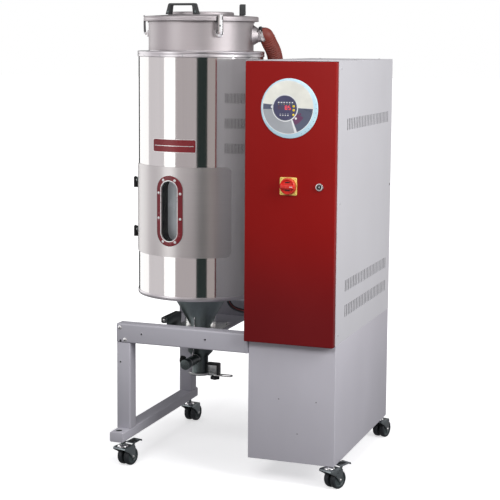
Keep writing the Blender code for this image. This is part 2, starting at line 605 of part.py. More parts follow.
def build_hopper():
    centre = (HOPPER_X, HOPPER_Y, 0.0)
    knee = CONE_APEX + VESSEL_RADIUS / CONE_SLOPE
    low = FLANGE_Z[0]
    throat = cone_radius(0.5118)
    vessel = lathe("hopper_vessel", [
        (0.2140, COLLAR_TOP), (0.2140, COLLAR_TOP - 0.0060), (VESSEL_RADIUS, COLLAR_TOP - 0.0060),
        (VESSEL_RADIUS, knee + GAP), (VESSEL_RADIUS - VESSEL_WALL, knee + GAP),
        (VESSEL_RADIUS - VESSEL_WALL, COLLAR_TOP)], centre, 56, mat=SATIN)
    cone = lathe("hopper_cone", [
        (VESSEL_RADIUS, knee), (throat, 0.5118), (throat, low), (0.0340, low), (0.0340, 0.5108),
        (VESSEL_RADIUS - 0.0026, knee)], centre, 56, mat=SATIN)
    flange = box("cone_flange", (HOPPER_X - 0.100, HOPPER_X + 0.100),
                 (HOPPER_Y - 0.100, HOPPER_Y + 0.100), FLANGE_Z, CUTTERS)
    join(cone, flange)
    for k in range(4):
        a = math.radians(90 * k)
        out, side = Vector((math.cos(a), math.sin(a), 0)), Vector((-math.sin(a), math.cos(a), 0))
        corners = ((cone_radius(0.5118) - 0.0010, 0.5110), (0.0665, 0.5110), (0.0665, 0.5600),
                   (cone_radius(0.5600) - 0.0010, 0.5600))
        verts = [Vector(centre) + out * r + side * s + Vector((0, 0, z))
                 for s in (-0.0015, 0.0015) for r, z in corners]
        gusset = mesh_from(f"cone_gusset_{k}", verts, [(0, 1, 2, 3), (7, 6, 5, 4), (0, 4, 5, 1),
                                                       (1, 5, 6, 2), (2, 6, 7, 3), (3, 7, 4, 0)], CUTTERS)
        join(cone, gusset)
    # return-air spigot on the collar
    start = hopper_point(105, 0.2070, 1.7000)
    mouth = hopper_point(105, 0.2580, 1.7000)
    axis = (mouth - start).normalized()
    spigot = rod("return_spigot", start, mouth, 0.0272, 18, CUTTERS)
    skirt = cone_between("return_skirt", start, start + axis * 0.0230, 0.0420, 0.0280)
    join(vessel, skirt, spigot)
    # latch feet welded on the collar
    for label, az in LATCH_AZIMUTHS.items():
        foot = hopper_block("latch_foot_" + label, az, 0.0300, 0.2090, 0.2215, 1.6920, 1.7180, CUTTERS)
        join(vessel, foot)
        for s in (-1, 1):
            ear = hopper_block(f"latch_ear_{label}_{s}", az, 0.0030, 0.2200, 0.2300, 1.6990, 1.7110,
                               CUTTERS)
            tangent = Vector((math.cos(math.radians(az)), math.sin(math.radians(az)), 0))
            ear.location = tangent * (s * 0.0135)
            join(vessel, ear)
        pin_centre = hopper_point(az, LATCH_PIVOT_R, LATCH_PIVOT_Z)
        pin = rod("latch_pin_" + label, pin_centre - tangent * 0.0140, pin_centre + tangent * 0.0140,
                  0.0018, 8, CUTTERS)
        join(vessel, pin)
    bore = rod("throat_bore", (HOPPER_X, HOPPER_Y, 0.49), (HOPPER_X, HOPPER_Y, 0.5135), THROAT_RADIUS,
               28, CUTTERS)
    spigot_bore = rod("spigot_bore", hopper_point(105, 0.1990, 1.7000), mouth + axis * 0.01, 0.0250, 18,
                      CUTTERS)
    opening = curved_plate("vessel_opening", OPENING_CENTRE, OPENING_HALF, 0.8660, 1.1540, 0.2000,
                           0.2108, 0.015, where=CUTTERS)
    cut(vessel, spigot_bore, opening)
    cut(cone, bore)

    jacket = lathe("insulation_jacket", [
        (JACKET_RADIUS, JACKET_TOP), (JACKET_RADIUS, JACKET_BOTTOM + 0.0160),
        (0.2535, JACKET_BOTTOM + 0.0160), (0.2535, JACKET_BOTTOM), (0.1270, JACKET_BOTTOM),
        (0.1270, JACKET_BOTTOM + 0.0015),
        (JACKET_RADIUS - 0.0015, JACKET_BOTTOM + 0.0015), (JACKET_RADIUS - 0.0015, JACKET_TOP)],
        centre, 64, mat=POLISHED)
    jacket_opening = curved_plate("jacket_opening", OPENING_CENTRE, OPENING_HALF, 0.8660, 1.1540,
                                  0.2400, 0.2600, 0.015, where=CUTTERS)
    supply_hole = rod("supply_hole", (-0.5200, 0.2470, 0.650), (-0.5200, 0.2470, 0.670), 0.0130, 12,
                      CUTTERS)
    cut(jacket, jacket_opening, supply_hole)

    neck = curved_plate("door_neck", OPENING_CENTRE, OPENING_HALF + 0.45, 0.8640, 1.1560, 0.2109,
                        0.2490, 0.017, mat=SATIN)
    neck_inside = curved_plate("neck_inside", OPENING_CENTRE, OPENING_HALF, 0.8660, 1.1540, 0.2000,
                               0.2600, 0.015, where=CUTTERS)
    cut(neck, neck_inside)

    lathe("hopper_top_ring", [(TOP_RING_RADIUS, 1.6360), (TOP_RING_RADIUS, 1.6130), (0.2109, 1.6130),
                              (0.2109, 1.6360)], centre, 64, mat=SATIN)

    # dry-air diffuser standing inside the cone on three legs, fed by a pipe through the wall
    diffuser = lathe("air_diffuser", [
        (0.0, 0.8100), (0.0720, 0.7200), (0.0700, 0.7080), (0.0, 0.7900)],
        centre, 28, mat=SATIN)
    for k in range(3):
        a = math.radians(120 * k + 30)
        foot = Vector((math.cos(a), math.sin(a), 0))
        top = Vector((HOPPER_X, HOPPER_Y, 0.7250)) + foot * 0.066
        heel = Vector((HOPPER_X, HOPPER_Y, 0.6600)) + foot * (cone_radius(0.6600) - 0.0080)
        leg = rod(f"diffuser_leg_{k}", top, heel, 0.0030, 6, CUTTERS)
        join(diffuser, leg)

    # hinged cleaning door with insulating plug
    door = curved_plate("cleaning_door", OPENING_CENTRE, CLEAN_DOOR_HALF, *CLEAN_DOOR_Z, 0.2518,
                        0.2548, 0.024, mat=SATIN)
    plug = curved_plate("door_plug", OPENING_CENTRE, OPENING_HALF - 1.2, 0.8720, 1.1480, 0.2135,
                        0.2530, 0.012, where=CUTTERS)
    join(door, plug)
    hinge = hopper_point(CLEAN_HINGE_AZIMUTH, CLEAN_HINGE_RADIUS, 0.0)
    tangent = Vector((math.cos(math.radians(CLEAN_HINGE_AZIMUTH)),
                      math.sin(math.radians(CLEAN_HINGE_AZIMUTH)), 0))
    for label, z in (("upper", 1.1060), ("lower", 0.9060)):
        knuckle = rod("door_knuckle_" + label, hinge + Vector((0, 0, z + 0.0003)),
                      hinge + Vector((0, 0, z + 0.0220)), 0.0075, 14, CUTTERS)
        strap = hopper_block("door_strap_" + label, CLEAN_HINGE_AZIMUTH + 3.6, 0.0340, 0.2533, 0.2590,
                             z + 0.0020, z + 0.0200, CUTTERS)
        join(door, strap, knuckle)
        block = hopper_block("hinge_block_" + label, CLEAN_HINGE_AZIMUTH - 1.4, 0.0260, 0.2520, 0.2580,
                             z - 0.0200, z - 0.0003, mat=DARK_STEEL)
        barrel = rod("hinge_barrel_" + label, hinge + Vector((0, 0, z - 0.0200)),
                     hinge + Vector((0, 0, z - 0.0003)), 0.0075, 14, CUTTERS)
        pin = rod("hinge_pin_" + label, hinge + Vector((0, 0, z - 0.0200)),
                  hinge + Vector((0, 0, z + 0.0250)), 0.0030, 10, CUTTERS)
        join(block, barrel, pin)
    window = curved_plate("window_slot", -6.7, 8.15, WINDOW_CENTRE_Z - 0.1200, WINDOW_CENTRE_Z + 0.1200,
                          0.2000, 0.2800, 0.0352, 6, CUTTERS)
    pin_bore = rod("knuckle_bore", hinge + Vector((0, 0, 0.90)), hinge + Vector((0, 0, 1.14)), 0.0034, 10,
                   CUTTERS)
    cut(door, window, pin_bore)
    set_pivot(door, (hinge.x, hinge.y, CLEAN_DOOR_Z[0]))

    # sight window riding on the cleaning door
    frame = curved_plate("window_frame", -6.7, 12.95, WINDOW_CENTRE_Z - 0.1400, WINDOW_CENTRE_Z + 0.1400,
                         0.2552, 0.2606, 0.0575, 8, mat=RED_TRIM)
    hole = curved_plate("window_frame_hole", -6.7, 8.05, WINDOW_CENTRE_Z - 0.1190,
                        WINDOW_CENTRE_Z + 0.1190, 0.2000, 0.2800, 0.0348, 6, CUTTERS)
    seat = curved_plate("window_frame_seat", -6.7, 10.4, WINDOW_CENTRE_Z - 0.1290,
                        WINDOW_CENTRE_Z + 0.1290, 0.2500, 0.2580, 0.0450, 6, CUTTERS)
    cut(frame, hole, seat)
    pane = curved_plate("window_glass", -6.7, 10.2, WINDOW_CENTRE_Z - 0.1282, WINDOW_CENTRE_Z + 0.1282,
                        0.2553, 0.2576, 0.0440, 6, mat=GLASS)
    set_pivot(frame, (hinge.x, hinge.y, CLEAN_DOOR_Z[0]))
    set_pivot(pane, (hinge.x, hinge.y, CLEAN_DOOR_Z[0]))


def cone_between(name, start, end, r_start, r_end, count=18):
    start, end = Vector(start), Vector(end)
    turn = (end - start).normalized().to_track_quat("Z", "Y").to_matrix()
    verts = []
    for base, radius in ((start, r_start), (end, r_end)):
        for a, b in disc_outline(0, 0, radius, count):
            verts.append(base + turn @ Vector((a, b, 0)))
    n = count
    faces = [tuple(range(n))[::-1], tuple(range(n, 2 * n))]
    faces += [(i, (i + 1) % n, n + (i + 1) % n, n + i) for i in range(n)]
    return mesh_from(name, verts, faces, CUTTERS)


def build_lid():
    centre = (HOPPER_X, HOPPER_Y, 0.0)
    lathe("hopper_lid", [
        (0.0, 1.7905), (0.1290, 1.7905), (0.1320, 1.7790), (0.2260, 1.7730),
        (LID_RADIUS, 1.7710), (LID_RADIUS, 1.7535), (0.2280, 1.7535), (0.2280, 1.7700),
        (0.2050, 1.7715), (0.2050, 1.7450), (0.2030, 1.7450), (0.2030, 1.7717), (0.1300, 1.7765),
        (0.1270, 1.7880), (0.0, 1.7880)], centre, 56, mat=SATIN)
    for label, az in (("front", -4.0), ("rear", 112.0)):
        a = math.radians(az)
        out = Vector((math.sin(a), -math.cos(a), 0))
        side = Vector((math.cos(a), math.sin(a), 0))
        base = Vector(centre) + out * 0.165
        z0 = 1.7788
        # trapezoidal pull: feet, posts and a flat grip in one moulding
        outer = [(-0.0700, 0.0), (-0.0585, 0.0400), (-0.0500, 0.0430), (0.0500, 0.0430),
                 (0.0585, 0.0400), (0.0700, 0.0)]
        inner = [(0.0500, 0.0), (0.0455, 0.0330), (-0.0455, 0.0330), (-0.0500, 0.0)]
        outline = outer + inner
        n = len(outline)
        verts = [base + side * s + out * d + Vector((0, 0, z0 + h))
                 for d in (-0.0110, 0.0110) for s, h in outline]
        faces = [tuple(range(n))[::-1], tuple(range(n, 2 * n))]
        faces += [(i, (i + 1) % n, n + (i + 1) % n, n + i) for i in range(n)]
        handle = mesh_from("lid_handle_" + label, verts, faces, mat=BLACK_PLASTIC)
        soften(handle, 0.0015, 1)
    for label, az in LATCH_AZIMUTHS.items():
        pivot = hopper_point(az, LATCH_PIVOT_R, LATCH_PIVOT_Z)
        tangent = Vector((math.cos(math.radians(az)), math.sin(math.radians(az)), 0))
        lever = hopper_block("lid_latch_" + label, az, 0.0230, 0.2316, 0.2346, 1.7040, 1.7780, mat=CHROME)
        hook = hopper_block("latch_hook_" + label, az, 0.0230, 0.2306, 0.2330, 1.7600, 1.7780, CUTTERS)
        barrel = rod("latch_barrel_" + label, pivot - tangent * 0.0110, pivot + tangent * 0.0110, 0.0040,
                     12, CUTTERS)
        web = hopper_block("latch_web_" + label, az, 0.0220, 0.2262, 0.2330, 1.7030, 1.7070, CUTTERS)
        hole = rod("latch_hole_" + label, pivot - tangent * 0.02, pivot + tangent * 0.02, 0.0022, 8,
                   CUTTERS)
        join(lever, hook, web, barrel)
        cut(lever, hole)
        set_pivot(lever, pivot)


# ----------------------------------------------------------- discharge parts
def build_discharge():
    x, y = HOPPER_X, HOPPER_Y
    # upper gate: housing and slide
    housing = box("gate_housing", (x - 0.085, x + 0.085), (y - 0.085, y + 0.085), GATE_Z, mat=DARK_STEEL)
    slot = box("gate_slot", (x - 0.10, x + 0.0650), (y - 0.0660, y + 0.0660), (0.4893, 0.4937), CUTTERS)
    bore = rod("gate_bore", (x, y, 0.47), (x, y, 0.51), THROAT_RADIUS, 28, CUTTERS)
    cut(housing, slot, bore)
    slide = box("gate_slide", (-0.7970, x + 0.0600), (y - 0.0655, y + 0.0655), (0.4897, 0.4933),
                mat=ZINC)
    upstand = box("gate_upstand", (-0.7970, -0.7940), (y - 0.0750, y + 0.0750), (0.4897, 0.5530), CUTTERS)
    join(slide, upstand)
    set_pivot(slide, (x, y, 0.4897))
    grip = box("gate_grip", (-0.8230, -0.7973), (y - 0.0720, y + 0.0720), (0.5270, 0.5525),
               mat=BLACK_PLASTIC)
    soften(grip, 0.004)
    set_pivot(grip, (x, y, 0.4897))

    # outlet pipe with the suction branch to the front
    outlet = lathe("outlet_pipe", [
        (0.0750, OUTLET_TOP), (0.0750, OUTLET_TOP - 0.0060), (0.0520, OUTLET_TOP - 0.0060),
        (0.0520, 0.4080), (OUTLET_RADIUS, 0.3870), (OUTLET_RADIUS, OUTLET_BOTTOM + 0.0060),
        (0.0480, OUTLET_BOTTOM + 0.0060), (0.0480, OUTLET_BOTTOM), (0.0310, OUTLET_BOTTOM),
        (0.0310, 0.3860), (0.0500, 0.4070), (0.0500, OUTLET_TOP - 0.0080),
        (THROAT_RADIUS, OUTLET_TOP - 0.0030), (THROAT_RADIUS, OUTLET_TOP)], (x, y, 0.0), 36,
        mat=DARK_STEEL)
    branch = rod("suction_branch", (x, y - 0.0318, SUCTION_Z), (x, 0.1930, SUCTION_Z), SUCTION_RADIUS, 18,
                 CUTTERS)
    stub = rod("regulator_stub", (x - 0.0180, 0.2600, SUCTION_Z), (x - 0.0330, 0.2600, SUCTION_Z), 0.0070,
               8, CUTTERS)
    join(outlet, branch, stub)
    branch_bore = rod("suction_bore", (x, y - 0.0200, SUCTION_Z), (x, 0.1800, SUCTION_Z), 0.0175, 18,
                      CUTTERS)
    cut(outlet, branch_bore)
    # clamp bracket for the drain flap
    top_arm = box("bracket_arm", (x + 0.0322, -0.5940), (y - 0.0175, y + 0.0175), (0.3560, 0.3620),
                  CUTTERS)
    leg = box("bracket_leg", (-0.6000, -0.5940), (y - 0.0175, y + 0.0175), (0.3165, 0.3620), CUTTERS)
    lip = box("bracket_lip", (x + 0.0400, -0.5940), (y - 0.0175, y + 0.0175), (0.3165, 0.3215), CUTTERS)
    join(outlet, top_arm, leg, lip)
    cut(outlet, rod("stud_hole", (FLAP_PIVOT_X, y, 0.30), (FLAP_PIVOT_X, y, 0.33), 0.0036, 10, CUTTERS))

    lathe("suction_filter", [
        (0.0, 0.0130), (0.0195, 0.0130), (0.0210, 0.0115), (0.0210, -0.0100), (0.0198, -0.0100),
        (0.0198, 0.0003), (0.0, 0.0003)], (x, 0.1930, SUCTION_Z), 20, "y", mat=DARK_STEEL)
    knob = lathe("air_regulator_knob", [
        (0.0, 0.0190), (0.0135, 0.0190), (0.0165, 0.0160), (0.0170, 0.0040), (0.0150, 0.0), (0.0, 0.0)],
        (x - 0.0333, 0.2600, SUCTION_Z), 20, "x", mat=BLACK_PLASTIC)
    knob.rotation_euler = (0, math.radians(-90), 0)

    flap = prism("drain_flap", disc_outline(x, y, 0.0420, 28), "z", 0.3120, 0.3160, mat=DARK_STEEL)
    arm = prism("flap_arm", rounded(0.5 * (x + -0.5350), y, -0.5350 - x, 0.0340, 0.0160), "z", 0.3120,
                0.3160, CUTTERS)
    loop = prism("flap_loop_hole", rounded(-0.5640, y, 0.0440, 0.0200, 0.0095), "z", 0.30, 0.33, CUTTERS)
    stud_hole = rod("flap_stud_hole", (FLAP_PIVOT_X, y, 0.30), (FLAP_PIVOT_X, y, 0.33), 0.0036, 10,
                    CUTTERS)
    join(flap, arm)
    cut(flap, loop, stud_hole)
    set_pivot(flap, (FLAP_PIVOT_X, y, 0.3120))
    # star knob with its stud
    star = []
    for k in range(30):
        a = 2 * math.pi * k / 30
        r = 0.0175 + 0.0022 * math.cos(5 * a)
        star.append((FLAP_PIVOT_X + r * math.cos(a), y + r * math.sin(a)))
    knob = prism("star_knob", star, "z", 0.2950, 0.3085, mat=BLACK_PLASTIC)
    boss = rod("star_boss", (FLAP_PIVOT_X, y, 0.3080), (FLAP_PIVOT_X, y, 0.3117), 0.0080, 12, CUTTERS)
    stud = rod("star_stud", (FLAP_PIVOT_X, y, 0.3080), (FLAP_PIVOT_X, y, 0.3290), 0.0030, 10, CUTTERS)
    join(knob, boss, stud)
    set_pivot(knob, (FLAP_PIVOT_X, y, 0.2950))


def build_hoses():
    # return-air hose from the collar down the gap to the elbow on the cabinet wall
    start = hopper_point(105, 0.2460, 1.7000)
    out = (hopper_point(105, 0.30, 1.7) - hopper_point(105, 0.20, 1.7)).normalized()
    path = [start, start + out * 0.0140,
            Vector((-0.4195, 0.4330, 1.6720)), Vector((-0.4120, 0.4680, 1.6330)),
            Vector((-0.4130, 0.5010, 1.5830)), Vector((-0.4150, 0.5300, 1.5100)),
            Vector((-0.4150, 0.5440, 1.4500)), Vector((-0.4150, 0.5450, 1.4050)),
            Vector((-0.4150, 0.5450, 1.3700))]
    sweep_tube("return_hose", smooth_path(path, 20), 0.0312, 0.0286, 18, mat=HOSE_RED)
    elbow_path = [Vector((-0.4150, 0.5450, 1.4000)), Vector((-0.4150, 0.5450, 1.3500))]
    for k in range(1, 6):
        a = math.radians(90 * k / 5)
        elbow_path.append(Vector((-0.4150 + 0.045 * (1 - math.cos(a)), 0.5450,
                                  1.3500 - 0.045 * math.sin(a))))
    elbow_path.append(Vector((-CABINET_WIDTH - GAP, 0.5450, 1.3050)))
    sweep_tube("return_elbow", elbow_path, 0.0270, 0.0250, 18, mat=SATIN)
    # thin dry-air line from the cabinet to the hopper cone
    line = [Vector((-0.5200, 0.2450, 0.7550)), Vector((-0.5200, 0.2450, 0.6750)),
            Vector((-0.5180, 0.2600, 0.6350)), Vector((-0.5000, 0.2800, 0.6100)),
            Vector((-0.4600, 0.3050, 0.5960)), Vector((-0.4100, 0.3260, 0.5905)),
            Vector((-0.3850, 0.3300, 0.5900)), Vector((-CABINET_WIDTH - GAP, 0.3300, 0.5900))]
    sweep_tube("supply_line", smooth_path(line, 16), 0.0085, 0.0065, 10, mat=HOSE_RED)


build_frame()
for caster, has_brake in (("front_left", True), ("front_right", True),
                          ("rear_left", False), ("rear_right", False)):
    build_caster(caster, has_brake)
build_cabinet()
build_control_door()
build_hopper()
build_lid()
build_discharge()
build_hoses()

for item in list(PARTS.objects) + list(CUTTERS.objects):
    item.location = item.location + PLAN_SHIFT
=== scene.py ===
"""Looks of the mobile granulate dryer: detailed pieces and materials around the CAD frame.

Lengths are metres.  Pieces are laid out in the CAD layout frame, whose corner is the cabinet's
front right edge at floor level, and SHIFT moves them to the part's own frame.
"""
import math

import bmesh
import bpy
from mathutils import Matrix, Vector


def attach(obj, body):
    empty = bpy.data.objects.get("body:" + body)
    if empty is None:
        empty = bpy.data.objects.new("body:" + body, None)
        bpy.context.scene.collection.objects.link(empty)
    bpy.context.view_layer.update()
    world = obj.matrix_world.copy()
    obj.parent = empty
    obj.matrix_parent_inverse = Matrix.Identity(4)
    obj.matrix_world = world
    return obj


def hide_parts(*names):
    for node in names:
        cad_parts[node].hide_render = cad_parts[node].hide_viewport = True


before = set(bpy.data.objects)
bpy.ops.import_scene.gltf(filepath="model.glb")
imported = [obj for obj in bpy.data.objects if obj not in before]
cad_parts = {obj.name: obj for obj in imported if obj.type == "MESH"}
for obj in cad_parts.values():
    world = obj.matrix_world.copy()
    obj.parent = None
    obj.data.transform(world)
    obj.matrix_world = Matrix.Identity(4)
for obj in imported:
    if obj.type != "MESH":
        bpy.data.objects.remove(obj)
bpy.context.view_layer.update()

SHIFT = Vector((0.44575, -0.377, 0.0))       # from the layout frame to the part's own frame
HOPPER = Vector((-0.678, 0.345, 0.0))        # foot of the hopper's axis in the layout frame
SHARP = math.radians(38)                     # edges that turn further than this are shaded sharp
SKIN_R = 0.2533                              # middle radius of the clean-out door's outer skin
WINDOW_Z = 1.015                             # height of the middle of the clean-out window
WINDOW_AZ = -6.7                             # its azimuth, from the front towards the cabinet
SPIGOT_AZ, SPIGOT_Z = 105, 1.7               # where the return hose leaves the hopper
PIVOT_R, PIVOT_Z = 0.2262, 1.705             # hinge pins of the lid latches
LATCHES = (("front", 40.0), ("left", -80.0), ("rear", 160.0))
DOOR_FACE = -0.0278                          # front of the control door
BRANCH_Z = 0.385                             # axis of the suction branch on the outlet
NOISE_LOW, NOISE_HIGH = 0.3, 0.7             # range that a noise texture mostly stays in
TINY = 1e-9                                  # radius below which a profile point is on the axis
BOX_FACES = ((0, 1, 3, 2), (4, 6, 7, 5), (0, 4, 5, 1), (2, 3, 7, 6), (0, 2, 6, 4), (1, 5, 7, 3))
GRAIN_HEIGHT = 0.0003                        # bump height of the metal and plastic grain


# ----------------------------------------------------------------- materials
def new_material(name, metallic, roughness, **sockets):
    """Material with its node tree, its shader and its coordinates."""
    mat = bpy.data.materials.new(name)
    mat.use_nodes = True
    tree = mat.node_tree
    shader = tree.nodes["Principled BSDF"]
    shader.inputs["Metallic"].default_value = metallic
    shader.inputs["Roughness"].default_value = roughness
    for socket, value in sockets.items():
        shader.inputs[socket].default_value = value
    coords = tree.nodes.new("ShaderNodeTexCoord")
    return mat, tree, shader, coords


def stretched_noise(tree, coords, scale, detail=3.0, roughness=0.55):
    """Noise with its own scale along x, y and z."""
    mapping = tree.nodes.new("ShaderNodeMapping")
    mapping.inputs["Scale"].default_value = scale
    tree.links.new(coords.outputs["Object"], mapping.inputs["Vector"])
    noise = tree.nodes.new("ShaderNodeTexNoise")
    noise.inputs["Scale"].default_value = 1.0
    noise.inputs["Detail"].default_value = detail
    noise.inputs["Roughness"].default_value = roughness
    tree.links.new(mapping.outputs["Vector"], noise.inputs["Vector"])
    return noise.outputs["Fac"]


def ramp(tree, fac, low, high, start=NOISE_LOW, stop=NOISE_HIGH):
    """Colour between low and high."""
    node = tree.nodes.new("ShaderNodeValToRGB")
    node.color_ramp.elements[0].position = start
    node.color_ramp.elements[1].position = stop
    node.color_ramp.elements[0].color = (*low, 1.0)
    node.color_ramp.elements[1].color = (*high, 1.0)
    tree.links.new(fac, node.inputs["Fac"])
    return node.outputs["Color"]


def map_range(tree, fac, start, stop, low, high):
    node = tree.nodes.new("ShaderNodeMapRange")
    for socket, value in (("From Min", start), ("From Max", stop), ("To Min", low),
                          ("To Max", high)):
        node.inputs[socket].default_value = value
    tree.links.new(fac, node.inputs["Value"])
    return node


def vary(tree, fac, low, high):
    """Number between low and high."""
    return map_range(tree, fac, NOISE_LOW, NOISE_HIGH, low, high).outputs["Result"]


def bump(tree, shader, fac, strength, distance):
    node = tree.nodes.new("ShaderNodeBump")
    node.inputs["Strength"].default_value = strength
    node.inputs["Distance"].default_value = distance
    tree.links.new(fac, node.inputs["Height"])
    tree.links.new(node.outputs["Normal"], shader.inputs["Normal"])


def shade(color, factor):
    """Colour made lighter or darker, kept within 1."""
    return tuple(min(c * factor, 1.0) for c in color)


def powder_coat(name, color, roughness=0.42, spread=0.05, peel=420.0):
    """Baked powder coat: orange peel, faint mottling and slightly uneven gloss."""
    mat, tree, shader, coords = new_material(name, 0.0, roughness)
    cloud = stretched_noise(tree, coords, (5.0, 5.0, 3.0), 4.0)
    color_out = ramp(tree, cloud, shade(color, 1 - spread), shade(color, 1 + spread))
    tree.links.new(color_out, shader.inputs["Base Color"])
    tree.links.new(vary(tree, cloud, roughness - 0.05, roughness + 0.06),
                   shader.inputs["Roughness"])
    bump(tree, shader, stretched_noise(tree, coords, (peel,) * 3, 2.0), 0.12, 0.0004)
    return mat


def coat_with_painted_shade(name, foot, head, z_low, z_high, roughness):
    """Powder coat with painted shade: its colour darkens towards the foot of a tall door, where the
    light falls off.
    """
    mat, tree, shader, coords = new_material(name, 0.0, roughness, **{"Specular IOR Level": 0.12})
    split = tree.nodes.new("ShaderNodeSeparateXYZ")
    tree.links.new(coords.outputs["Object"], split.inputs[0])
    # painted shade: the height sets the colour, from the dark foot up to the lighter head
    rise = map_range(tree, split.outputs["Z"], z_low, z_high, 0.0, 1.0)
    rise.interpolation_type = "SMOOTHSTEP"
    base = ramp(tree, rise.outputs["Result"], foot, head, 0.0, 1.0)
    cloud = stretched_noise(tree, coords, (5.0, 5.0, 3.0), 4.0)
    tone = tree.nodes.new("ShaderNodeMix")
    tone.data_type = "RGBA"
    tone.blend_type = "MULTIPLY"
    tone.inputs[0].default_value = 1.0
    tree.links.new(base, tone.inputs[6])
    tree.links.new(ramp(tree, cloud, (0.94, 0.94, 0.94), (1.0, 1.0, 1.0)), tone.inputs[7])
    tree.links.new(tone.outputs[2], shader.inputs["Base Color"])
    tree.links.new(vary(tree, cloud, roughness - 0.05, roughness + 0.06),
                   shader.inputs["Roughness"])
    bump(tree, shader, stretched_noise(tree, coords, (520.0,) * 3, 2.0), 0.12, 0.0004)
    return mat


def metal(name, color, roughness, brush, spread=0.06, strength=0.08, swing=0.06):
    """Rolled or brushed metal; brush holds the noise scales along x, y and z."""
    mat, tree, shader, coords = new_material(name, 1.0, roughness)
    grain = stretched_noise(tree, coords, brush, 4.0, 0.6)
    tree.links.new(ramp(tree, grain, shade(color, 1 - spread), shade(color, 1 + spread)),
                   shader.inputs["Base Color"])
    tree.links.new(vary(tree, grain, roughness - swing, roughness + swing),
                   shader.inputs["Roughness"])
    bump(tree, shader, grain, strength, GRAIN_HEIGHT)
    return mat


def plastic(name, color, roughness, scale=300.0, strength=0.06, **sockets):
    """Moulded plastic, rubber or printed film with a fine grain."""
    mat, tree, shader, coords = new_material(name, 0.0, roughness, **sockets)
    cloud = stretched_noise(tree, coords, (12.0,) * 3, 3.0)
    tree.links.new(ramp(tree, cloud, shade(color, 0.9), shade(color, 1.1)),
                   shader.inputs["Base Color"])
    tree.links.new(vary(tree, cloud, roughness - 0.06, roughness + 0.08),
                   shader.inputs["Roughness"])
    bump(tree, shader, stretched_noise(tree, coords, (scale,) * 3, 2.0), strength, GRAIN_HEIGHT)
    return mat


CABINET_PAINT = powder_coat("cabinet_paint", (0.66, 0.655, 0.69), 0.4, 0.02)
# grey of the base: the cabinet's paint made darker low down, painted shade
BASE_PAINT_SHADED = powder_coat("base_paint_shaded", (0.56, 0.545, 0.6), 0.42, 0.03)
FRAME_PAINT = powder_coat("frame_paint", (0.49, 0.48, 0.53), 0.42, 0.03)
# door paint whose darker foot is painted shade, the light falling off down the door
DOOR_PAINT_WITH_SHADE = coat_with_painted_shade("door_paint_with_shade", (0.18, 0.009, 0.011), (0.305, 0.0065, 0.0055), 0.6, 1.05,
                         0.42)
JACKET_STEEL = metal("jacket_steel", (0.77, 0.75, 0.74), 0.085, (55.0, 55.0, 0.7), 0.02, 0.01, 0.02)
SATIN_STEEL = metal("satin_steel", (0.6, 0.575, 0.57), 0.34, (3.0, 3.0, 420.0), 0.02, 0.012, 0.03)
COLLAR_STEEL = metal("collar_steel", (0.47, 0.435, 0.445), 0.44, (3.0, 3.0, 300.0), 0.02, 0.01,
                     0.03)
RING_STEEL = metal("ring_steel", (0.7, 0.67, 0.69), 0.3, (3.0, 3.0, 300.0), 0.03, 0.01, 0.03)
# steel of the cone made dark and green-grey: painted shade of its downward-facing side
CONE_STEEL_SHADED = metal("cone_steel_shaded", (0.3, 0.355, 0.355), 0.36, (180.0, 180.0, 8.0), 0.1, 0.05)
# dark steel: its dark tone is partly the metal's own, and on the gate, outlet, cap and flap under
# the hopper also painted shade
DARK_STEEL_AND_SHADE = metal("dark_steel", (0.13, 0.155, 0.155), 0.34, (60.0,) * 3, 0.15, 0.08)
BRIGHT_STEEL = metal("bright_steel", (0.8, 0.8, 0.79), 0.2, (30.0, 30.0, 300.0), 0.05, 0.04)
FORK_STEEL = metal("fork_steel", (0.24, 0.27, 0.28), 0.3, (60.0,) * 3, 0.12, 0.04, 0.05)
CHROME = metal("chrome_plate", (0.86, 0.86, 0.87), 0.09, (40.0,) * 3, 0.03, 0.03, 0.03)
ZINC = metal("zinc_sheet", (0.58, 0.6, 0.6), 0.38, (25.0,) * 3, 0.14, 0.05)
CAST_ALUMINIUM = metal("cast_aluminium", (0.66, 0.67, 0.68), 0.42, (140.0,) * 3, 0.08, 0.15)
BLACK_PLASTIC = plastic("black_plastic", (0.016, 0.018, 0.019), 0.34, 420.0, 0.1)
BLACK_RUBBER = plastic("black_rubber", (0.012, 0.016, 0.02), 0.55, 350.0, 0.2)
WHEEL_HUB = plastic("wheel_hub", (0.045, 0.06, 0.062), 0.38, 300.0, 0.08)
TRIM_RED = plastic("trim_red", (0.2, 0.012, 0.02), 0.22, 200.0, 0.03)
BADGE_RED = plastic("badge_red", (0.24, 0.015, 0.022), 0.28, 200.0, 0.02)
BADGE_RIM = metal("badge_rim", (0.85, 0.84, 0.84), 0.3, (100.0,) * 3, 0.03, 0.02)
HOSE_RED = plastic("hose_silicone", (0.165, 0.022, 0.012), 0.46, 500.0, 0.15)
LINE_RED = plastic("line_red", (0.3, 0.05, 0.045), 0.4, 500.0, 0.08)
SWITCH_YELLOW = plastic("switch_yellow", (0.86, 0.66, 0.16), 0.3)
SWITCH_RED = plastic("switch_red", (0.72, 0.035, 0.026), 0.24)
